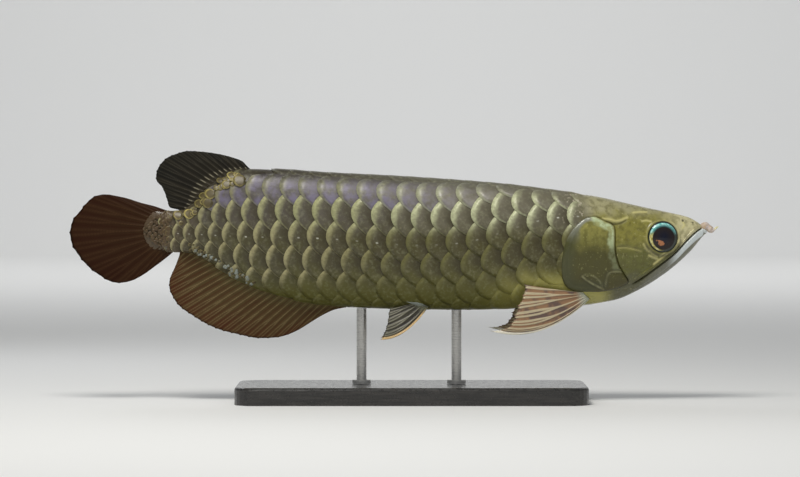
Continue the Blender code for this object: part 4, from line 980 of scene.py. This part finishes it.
# Eyes: glassy balls set deep in the sockets, with a wide black pupil in a thin gold ring that turns turquoise
# at the top. Each is a flattened sphere whose pole looks out of the head.
EYE_BALL, EYE_DEPTH, EYE_PROUD, EYE_BACK = 13.4, 7.0, 3.4, 20.1
PUPIL_EDGE, PUPIL_DROP, RING_EDGE = 9.3, 1.0, 11.3
IRIS_GOLD, IRIS_BLUE = ((0.34, 0.28, 0.05), (0.7, 0.66, 0.3)), ((0.16, 0.55, 0.5), (0.45, 0.85, 0.8))
IRIS_DUSK, IRIS_INNER, IRIS_FRONT, EYE_RIM = (
    (0.05, 0.06, 0.05), (0.03, 0.1, 0.1), (0.05, 0.16, 0.15), (0.02, 0.03, 0.03),
)
PUPIL_TONES, GLINT_REFLECTION_TONE = ((0.008, 0.009, 0.02), (0.02, 0.014, 0.012)), (0.55, 0.22, 0.09)


def eye_finish():
    """Wet eye: the ring's streaks from gold to turquoise, and a warm glint low in the pupil, which is a
    painted reflection.
    """
    paint = Paint("eye", roughness=0.2, coat_weight=0.3, coat_roughness=0.03, specular_ior_level=0.2)
    spread, up, ahead = map(paint.read, ("spread", "up", "ahead"))
    streaks = paint.noise(500.0, 3.0)
    dusk = paint.mix(ahead.span(0.1, -0.35), IRIS_DUSK, paint.mix(streaks.span(0.35, 0.65), *IRIS_GOLD))
    blue = paint.mix(streaks.span(0.4, 0.6), *IRIS_BLUE)
    blue = paint.mix(spread.span(PUPIL_EDGE - 1.0, RING_EDGE), IRIS_INNER, blue)
    blue = paint.mix(ahead.span(0.2, 0.75, 0.0, 0.55), blue, IRIS_FRONT)
    # Painted reflection: a warm orange glint in a wavy patch low in the pupil.
    wavy = paint.noise(330.0, 2.0).span(0.3, 0.7, -0.12, 0.12)
    glint = abs(up + 0.34 + wavy).span(0.12, 0.06) * abs(ahead - wavy + 0.2).span(0.2, 0.12)
    pupil = paint.mix(glint * 0.75, paint.mix(spread.span(0.0, 9.0), *PUPIL_TONES), GLINT_REFLECTION_TONE)
    ring = paint.read("pupil").span(PUPIL_EDGE - 0.5, PUPIL_EDGE + 0.2)
    tone = paint.mix(ring, pupil, paint.mix(up.span(0.05, 0.4), dusk, blue))
    return paint.finish(paint.mix(spread.span(RING_EDGE - 0.3, RING_EDGE + 0.2), tone, EYE_RIM))


eye_material = eye_finish()
for mark, side in SIDES:
    ball = new_form("spread", "pupil", "up", "ahead", mapped=False)
    bmesh.ops.create_uvsphere(ball, u_segments=64, v_segments=48, radius=1.0)
    forward = skin_point(EYE_X + 2, eye_reach, 0.0, side) - skin_point(EYE_X - 2, eye_reach, 0.0, side)
    upward = skin_point(EYE_X, eye_reach + 2, 0.0, side) - skin_point(EYE_X, eye_reach - 2, 0.0, side)
    outward = forward.cross(upward).normalized() * -side
    forward = (forward - outward * forward.dot(outward)).normalized()
    upward = outward.cross(forward) * (1 if outward.cross(forward).z > 0 else -1)
    centre = skin_point(EYE_X, eye_reach, 0.0, side) - outward * (EYE_DEPTH - EYE_PROUD)
    for vert in ball.verts:
        a, b, c = vert.co
        spread = EYE_BALL * math.hypot(a, b) if c > 0 else EYE_BACK
        pupil = math.hypot(EYE_BALL * a, EYE_BALL * b + PUPIL_DROP)
        note(ball, vert, spread=spread, pupil=pupil, up=b, ahead=a)
        vert.co = (centre + forward * a * EYE_BALL + upward * b * EYE_BALL + outward * c * EYE_DEPTH) * MM
    add_piece("eyeball_" + mark, ball, eye_material, "eye", "eye_" + mark)

# Barbels: two fleshy feelers on the chin, pinkish and swollen at the root and drawn out to a pale thread.
# Each is a round tube along a bent path, with its end closed.
BARBEL_PATH = [
    (245.6, 1.8, 138.4), (249, 2.6, 140.4), (251.8, 3.2, 139.4), (254.6, 3.8, 137), (259.5, 4.7, 140.4),
]
BARBEL_RADIUS = [(0, 2.2), (0.24, 3.4), (0.4, 2.2), (0.54, 2.6), (0.66, 1.5), (0.74, 0.7), (1, 0.4)]
BARBEL_SIDES, BARBEL_RINGS = 24, 36
BARBEL_TONES, THREAD_TONE = ((0.5, 0.36, 0.22), (0.6, 0.51, 0.46)), (0.68, 0.64, 0.34)

paint = Paint("barbel_skin", roughness=0.38, coat_weight=0.3, coat_roughness=0.2)
tone = paint.mix(paint.noise(300.0, 3.0).span(0.35, 0.65), *BARBEL_TONES)
tone = paint.mix(paint.axis("X").span(0.2555, 0.2575), tone, THREAD_TONE)
barbel_material = paint.finish(tone, paint.bump(paint.noise(900.0, 3.0), 0.25))
barbel_radius = through(BARBEL_RADIUS)
path = even_line(smooth_line(BARBEL_PATH, 0.1), count=BARBEL_RINGS)
for mark, side in SIDES:
    feeler = new_form(mapped=False)
    for vert, spoke, ring in add_sheet(feeler, BARBEL_SIDES, BARBEL_RINGS):
        turn = 2 * math.pi * spoke / BARBEL_SIDES
        here, after, before = (Vector(path[min(max(k, 0), BARBEL_RINGS)]) for k in (ring, ring + 1, ring - 1))
        ahead = (after - before).normalized()
        across = ahead.cross(Vector((0, 0, 1))).normalized()
        radius = barbel_radius(ring / BARBEL_RINGS) * math.sqrt(max(1 - (ring / BARBEL_RINGS) ** 12, 0.0))
        point = here + (across * math.cos(turn) + across.cross(ahead) * math.sin(turn)) * radius
        vert.co = Vector((point.x, side * point.y, point.z)) * MM
    bmesh.ops.remove_doubles(feeler, verts=feeler.verts, dist=0.002 * MM)
    close_holes(feeler)
    add_piece("feeler_" + mark, feeler, barbel_material, "barbel", "barbel_" + mark)

# Fins: thin webs over jointed rays that split towards the margin. Each is a fine grid on both faces that
# follows its rays, thick in the fleshy root and closed along its edge.
DORSAL_MARGIN = [
    (-117.5, 187.6), (-121.6, 192.6), (-132.8, 196.6), (-144, 199), (-155.2, 200.4), (-166.4, 200.8),
    (-174, 198.8), (-181.9, 195.5), (-187.5, 189.9), (-190.4, 183.8), (-190.4, 177), (-186.4, 172.6),
    (-183.6, 167), (-181.4, 160.1), (-179.5, 155.4), (-172, 153.9),
]
ANAL_MARGIN = [
    (-38.4, 75.4), (-48, 73.4), (-56.8, 69.4), (-66.4, 63.6), (-74.4, 58.5), (-82.4, 54.4), (-92.8, 51.2),
    (-108, 50.4), (-116, 51.4), (-127.2, 54), (-138.4, 56.8), (-149.6, 61.4), (-160.8, 68.1), (-172, 76),
    (-177.6, 83.8), (-180.2, 90.5), (-179.7, 98.4), (-175.2, 108.6), (-171.6, 118),
]
TAIL_EDGE = [
    (-180, 152.6), (-187, 149), (-192, 144), (-194.6, 137), (-193.8, 129.6), (-188.6, 124), (-179, 119.9),
]
TAIL_MARGIN = [
    (-181, 152.4), (-190.9, 156.2), (-203.2, 159.4), (-214.4, 163), (-228, 165.8), (-235.8, 165.8),
    (-243.6, 162.4), (-251.5, 153.4), (-258.2, 144.4), (-259.9, 134.4), (-258.2, 125.4), (-252.6, 116.4),
    (-244.8, 107.4), (-235.8, 100.6), (-226.8, 95.6), (-219, 94.8), (-211.2, 96.2), (-202.1, 100.6),
    (-190.9, 108.6), (-183, 114.6), (-178.4, 118.4),
]
FIN_CELLS, FIN_STATIONS, STATION_EASE, LINE_STEPS = 12, 30, 1.25, 400
WEB_HALF, SHEATH_REACH, ROOT_SUNK = 0.14, 0.07, 1.2
MEDIAN_FINS = {
    "dorsal": {
        "root": [(x / 4, back_z(x / 4) - ROOT_SUNK) for x in range(-4 * 114, -4 * 171, -1)],
        "margin": DORSAL_MARGIN, "rays": 19, "sweep": 0.86, "wave": 1.2, "ray_half": 0.5, "sheath": 1.9,
    },
    "anal": {
        "root": [(x / 4, belly_z(x / 4) + ROOT_SUNK) for x in range(-4 * 36, -4 * 172, -1)],
        "margin": ANAL_MARGIN, "rays": 26, "sweep": 0.7, "wave": 1.6, "ray_half": 0.5, "sheath": 1.9,
    },
    "tail": {
        "root": [(x + 2.4, z) for x, z in smooth_line(TAIL_EDGE)], "margin": TAIL_MARGIN,
        "rays": 17, "sweep": 1.0, "wave": 1.6, "ray_half": 0.42, "sheath": 2.6,
    },
}
FIN_TONES = {
    "dorsal": ((0.042, 0.034, 0.02), (0.013, 0.011, 0.008), (0.009, 0.009, 0.007), (0.056, 0.05, 0.038), 0.4),
    "anal": ((0.11, 0.09, 0.035), (0.062, 0.036, 0.014), (0.06, 0.018, 0.007), (0.2, 0.145, 0.068), 0.5),
    "tail": ((0.048, 0.024, 0.009), (0.027, 0.01, 0.003), (0.022, 0.005, 0.001), (0.054, 0.026, 0.01), 0.35),
}
BEAD_TONE = (0.42, 0.38, 0.26)


def ray_height(phase, station, forks=(0.42, 0.7)):
    """Height of the ray over the web, 0 to 1, at a place between rays; the ray forks twice on its way out."""
    off = phase - round(phase)
    first = 0.17 * eased(station, forks[0], forks[0] + 0.25)
    second = 0.09 * eased(station, forks[1], forks[1] + 0.2)
    width = 0.17 - 0.09 * eased(station, forks[0], 1.0)
    return max(hump(off - a * first - b * second, width) for a in (-1, 1) for b in (-1, 1))


def add_fin(name, rays, place, material, slot, replaced, cells=FIN_CELLS):
    """A fin; place gives the middle point and half thickness at a share of its width and its rays' length."""
    web = new_form("ray", "out", mapped=False)
    count = rays * cells
    for face_side in (-1, 1):
        for vert, column, row in add_sheet(web, count, FIN_STATIONS):
            share, station = column / count, (row / FIN_STATIONS) ** STATION_EASE
            middle, half = place(share, station)
            inner = 0 < column < count and 0 < row < FIN_STATIONS
            vert.co = (middle + Vector((0.0, face_side * half if inner else 0.0, 0.0))) * MM
            note(web, vert, ray=share * rays, out=station)
    bmesh.ops.remove_doubles(web, verts=web.verts, dist=0.002 * MM)
    add_piece(name, web, material, slot, replaced)


def median_place(root, margin, rays, sweep, wave, ray_half, sheath):
    """Shape of a fin on the midline, from its root line to its margin."""
    root_line = even_line(root, count=LINE_STEPS)
    margin_line = even_line(smooth_line(margin), count=LINE_STEPS)

    def at(line, share):
        place = min(share, 1.0) * LINE_STEPS
        i = min(int(place), LINE_STEPS - 1)
        return Vector(line[i]).lerp(Vector(line[i + 1]), place - i)

    def place(share, station):
        phase = share * rays
        notch = 0.011 * abs(math.sin(math.pi * phase)) ** 0.7 + 0.005 * abs(math.sin(2 * math.pi * phase))
        out = station * (1 - notch) - 0.02 * (1 - station)
        flat = at(root_line, share).lerp(at(margin_line, share**sweep), out)
        ridge = ray_half * (1 - 0.72 * station) * ray_height(phase, station)
        full = math.sin(math.pi * min(max(share, 0.02), 0.98)) ** 0.3
        body = sheath * math.exp(-station / SHEATH_REACH) * full
        sway = wave * station**1.6 * math.sin(2.3 * math.pi * share + 0.6)
        return Vector((flat.x, sway, flat.y)), WEB_HALF * (1 - 0.4 * station) + ridge + body

    return place


def from_ray(ray):
    """Distance to the nearest ray: 0 on it, 0.5 midway between two."""
    return abs((ray + 0.5).math("FRACT") - 0.5)


def fin_finish(name, root_tone, mid_tone, edge_tone, ray_tone, edge_at):
    """Web that darkens or reddens outwards, with paler jointed rays, and beads at the dorsal fin's foot."""
    paint = Paint(name + "_web", roughness=0.55, specular_ior_level=0.1)
    ray, out = paint.read("ray"), paint.read("out")
    tone = paint.mix(out.span(0.02, 0.3), root_tone, mid_tone)
    tone = paint.mix(out.span(edge_at, 1.0), tone, edge_tone)
    phase = from_ray(ray)
    near = abs(phase - out.span(0.42, 0.75, 0.0, 0.19))
    joints = (out * 170.0).math("SINE").span(-0.6, 0.2, 0.55, 1.0)
    per_ray = paint.value("ShaderNodeTexWhiteNoise", {"W": ray.math("ROUND")}, noise_dimensions="1D")
    tone = paint.mix(per_ray.span(0.0, 1.0, 0.0, 0.3), tone, root_tone)
    tone = paint.mix(phase.span(0.3, 0.47, 0.0, 0.5), tone, edge_tone)
    tone = paint.mix(near.span(0.14, 0.05) * joints * out.span(0.0, 1.0, 0.85, 0.4), tone, ray_tone)
    tone = paint.mix(paint.noise(140.0, 3.0).span(0.4, 0.7, 0.0, 0.35), tone, mid_tone)
    if name == "dorsal":
        beads = out.span(0.1, 0.14) * out.span(0.26, 0.2) * phase.span(0.16, 0.05)
        tone = paint.mix(beads * 0.5, tone, BEAD_TONE)
    return paint.finish(tone, paint.bump(paint.noise(900.0, 2.0), 0.06))


for name, form in MEDIAN_FINS.items():
    material = fin_finish(name, *FIN_TONES[name])
    add_fin(name + "_web", form["rays"], median_place(**form), material, name + "_fin", name + "_fin")

# Paired fins: like the others, but they fan out from the flanks, bowed down and away from the body, with a
# stout, pale leading ray.
PECTORAL = (
    ((156.4, 82.6), (150.8, 87.8)),
    [(75.2, 58.5), (87, 60), (92, 64), (94.6, 70), (97.4, 77.6), (101.6, 86), (103, 94.6)],
    (13.0, 0.5), (27.0, 12.0),
)
PELVIC = (
    ((28.0, 76.6), (13.4, 78.8)),
    [(-11.4, 50.4), (-8.6, 54.2), (-6.6, 59.4), (-5.2, 65), (-4.6, 70.4), (-3.6, 75)],
    (7.5, 0.5), (13.0, 4.0),
)
PECTORAL_TONES = (
    (0.28, 0.16, 0.085), (0.13, 0.085, 0.07), (0.5, 0.42, 0.27), (0.85, 0.8, 0.66), (0.5, 0.51, 0.4),
)
PELVIC_TONES = (
    (0.05, 0.045, 0.03), (0.035, 0.03, 0.024), (0.19, 0.18, 0.13), (0.6, 0.42, 0.2), (0.16, 0.16, 0.1),
)
PAIRED_FINS = {"pectoral": (PECTORAL, PECTORAL_TONES, 24), "pelvic": (PELVIC, PELVIC_TONES, 20)}
PAIRED_HALF, PAIRED_CLEAR, PAIRED_SUNK = 0.8, 0.5, 0.8


def paired_place(side, root, tips, sag, flare):
    """Shape of a pectoral or pelvic fin."""
    rays = len(tips) - 1

    def skin_y(x, z):
        return abs(skin_point(x, reach_of(x, z)).y) if belly_z(x) < z < back_z(x) else 0.0

    def place(share, station):
        phase = share * rays
        i = min(int(phase), rays - 1)
        tip = Vector(tips[i]).lerp(Vector(tips[i + 1]), phase - i)
        start = Vector(root[0]).lerp(Vector(root[1]), share)
        notch = 0.03 * abs(math.sin(math.pi * phase)) ** 0.6 + 0.012 * abs(math.sin(3 * math.pi * phase))
        t = station * (1 - notch)
        bend = sag[0] + (sag[1] - sag[0]) * min(1.6 * share, 1.0)
        flat = start.lerp(tip, t) - Vector((0.0, 4 * bend * t * (1 - t)))
        leading = 1.0 + 0.9 * hump(phase, 0.5)
        ridge = PAIRED_HALF * leading * (1 - 0.6 * station) * ray_height(phase, station, (0.35, 0.62))
        half = WEB_HALF + ridge + 1.2 * math.exp(-station / 0.05)
        y = skin_y(*start) + (flare[0] + (flare[1] - flare[0]) * share) * t**0.85
        y = max(y, skin_y(flat.x, flat.y) + (half + PAIRED_CLEAR) * eased(station, 0.02, 0.12)) - PAIRED_SUNK
        return Vector((flat.x, side * y, flat.y)), half

    return rays, place


def paired_finish(name, web_tone, dark_tone, ray_tone, lead_tone, root_tone):
    """Striped web with pale rays, the palest in front."""
    paint = Paint(name, roughness=0.42, coat_weight=0.1, coat_roughness=0.25, specular_ior_level=0.35)
    ray, out = paint.read("ray"), paint.read("out")
    near = abs(from_ray(ray) - out.span(0.35, 0.7, 0.0, 0.2))
    web = paint.mix(paint.noise(90.0, 3.0).span(0.42, 0.6), web_tone, dark_tone)
    tone = paint.mix(near.span(0.17, 0.07), web, ray_tone)
    tone = paint.mix(ray.span(0.6, 0.35), tone, lead_tone)
    tone = paint.mix(out.span(0.16, 0.02), tone, root_tone)
    return paint.finish(tone, paint.bump(paint.noise(800.0, 2.0), 0.06))


finishes = {name: paired_finish(name + "_web", *tones) for name, (_, tones, _) in PAIRED_FINS.items()}
for mark, side in SIDES:
    for name, (form, _, cells) in PAIRED_FINS.items():
        rays, place = paired_place(side, *form)
        add_fin(f"{name}_web_{mark}", rays, place, finishes[name], "paired_fin", f"{name}_fin_{mark}", cells)

# Stand: a wooden base board lacquered satin black, and two turned and brushed steel rods with collars, which
# hold the fish under its belly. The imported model's own three nodes show here and only get their finish.
BOARD_TONES = ((0.012, 0.011, 0.01), (0.03, 0.027, 0.024))
STEEL_TONES = ((0.5, 0.49, 0.47), (0.66, 0.65, 0.62))
paint = Paint("black_lacquer", roughness=0.3, coat_weight=0.4, coat_roughness=0.12)
grain = paint.noise(55.0, 5.0, (1.0, 14.0, 14.0))
dust = paint.noise(260.0, 4.0).span(0.3, 0.75, 0.24, 0.4)
board_finish = paint.finish(paint.mix(grain.span(0.35, 0.7), *BOARD_TONES), paint.bump(grain, 0.08), dust)
paint = Paint("brushed_steel", metallic=1.0, roughness=0.3)
turned = paint.noise(40.0, 3.0, (1.0, 1.0, 60.0))
tone, polish = paint.mix(turned.span(0.3, 0.7), *STEEL_TONES), turned.span(0.3, 0.7, 0.24, 0.4)
steel_finish = paint.finish(tone, paint.bump(turned, 0.02), polish)
for node in ("stand_base", "stand_rod_rear", "stand_rod_front"):
    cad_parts[node].data.materials.clear()
    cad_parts[node].data.materials.append(board_finish if node == "stand_base" else steel_finish)

[[list(corner) for corner in box] for box in (cad_bounds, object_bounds())]
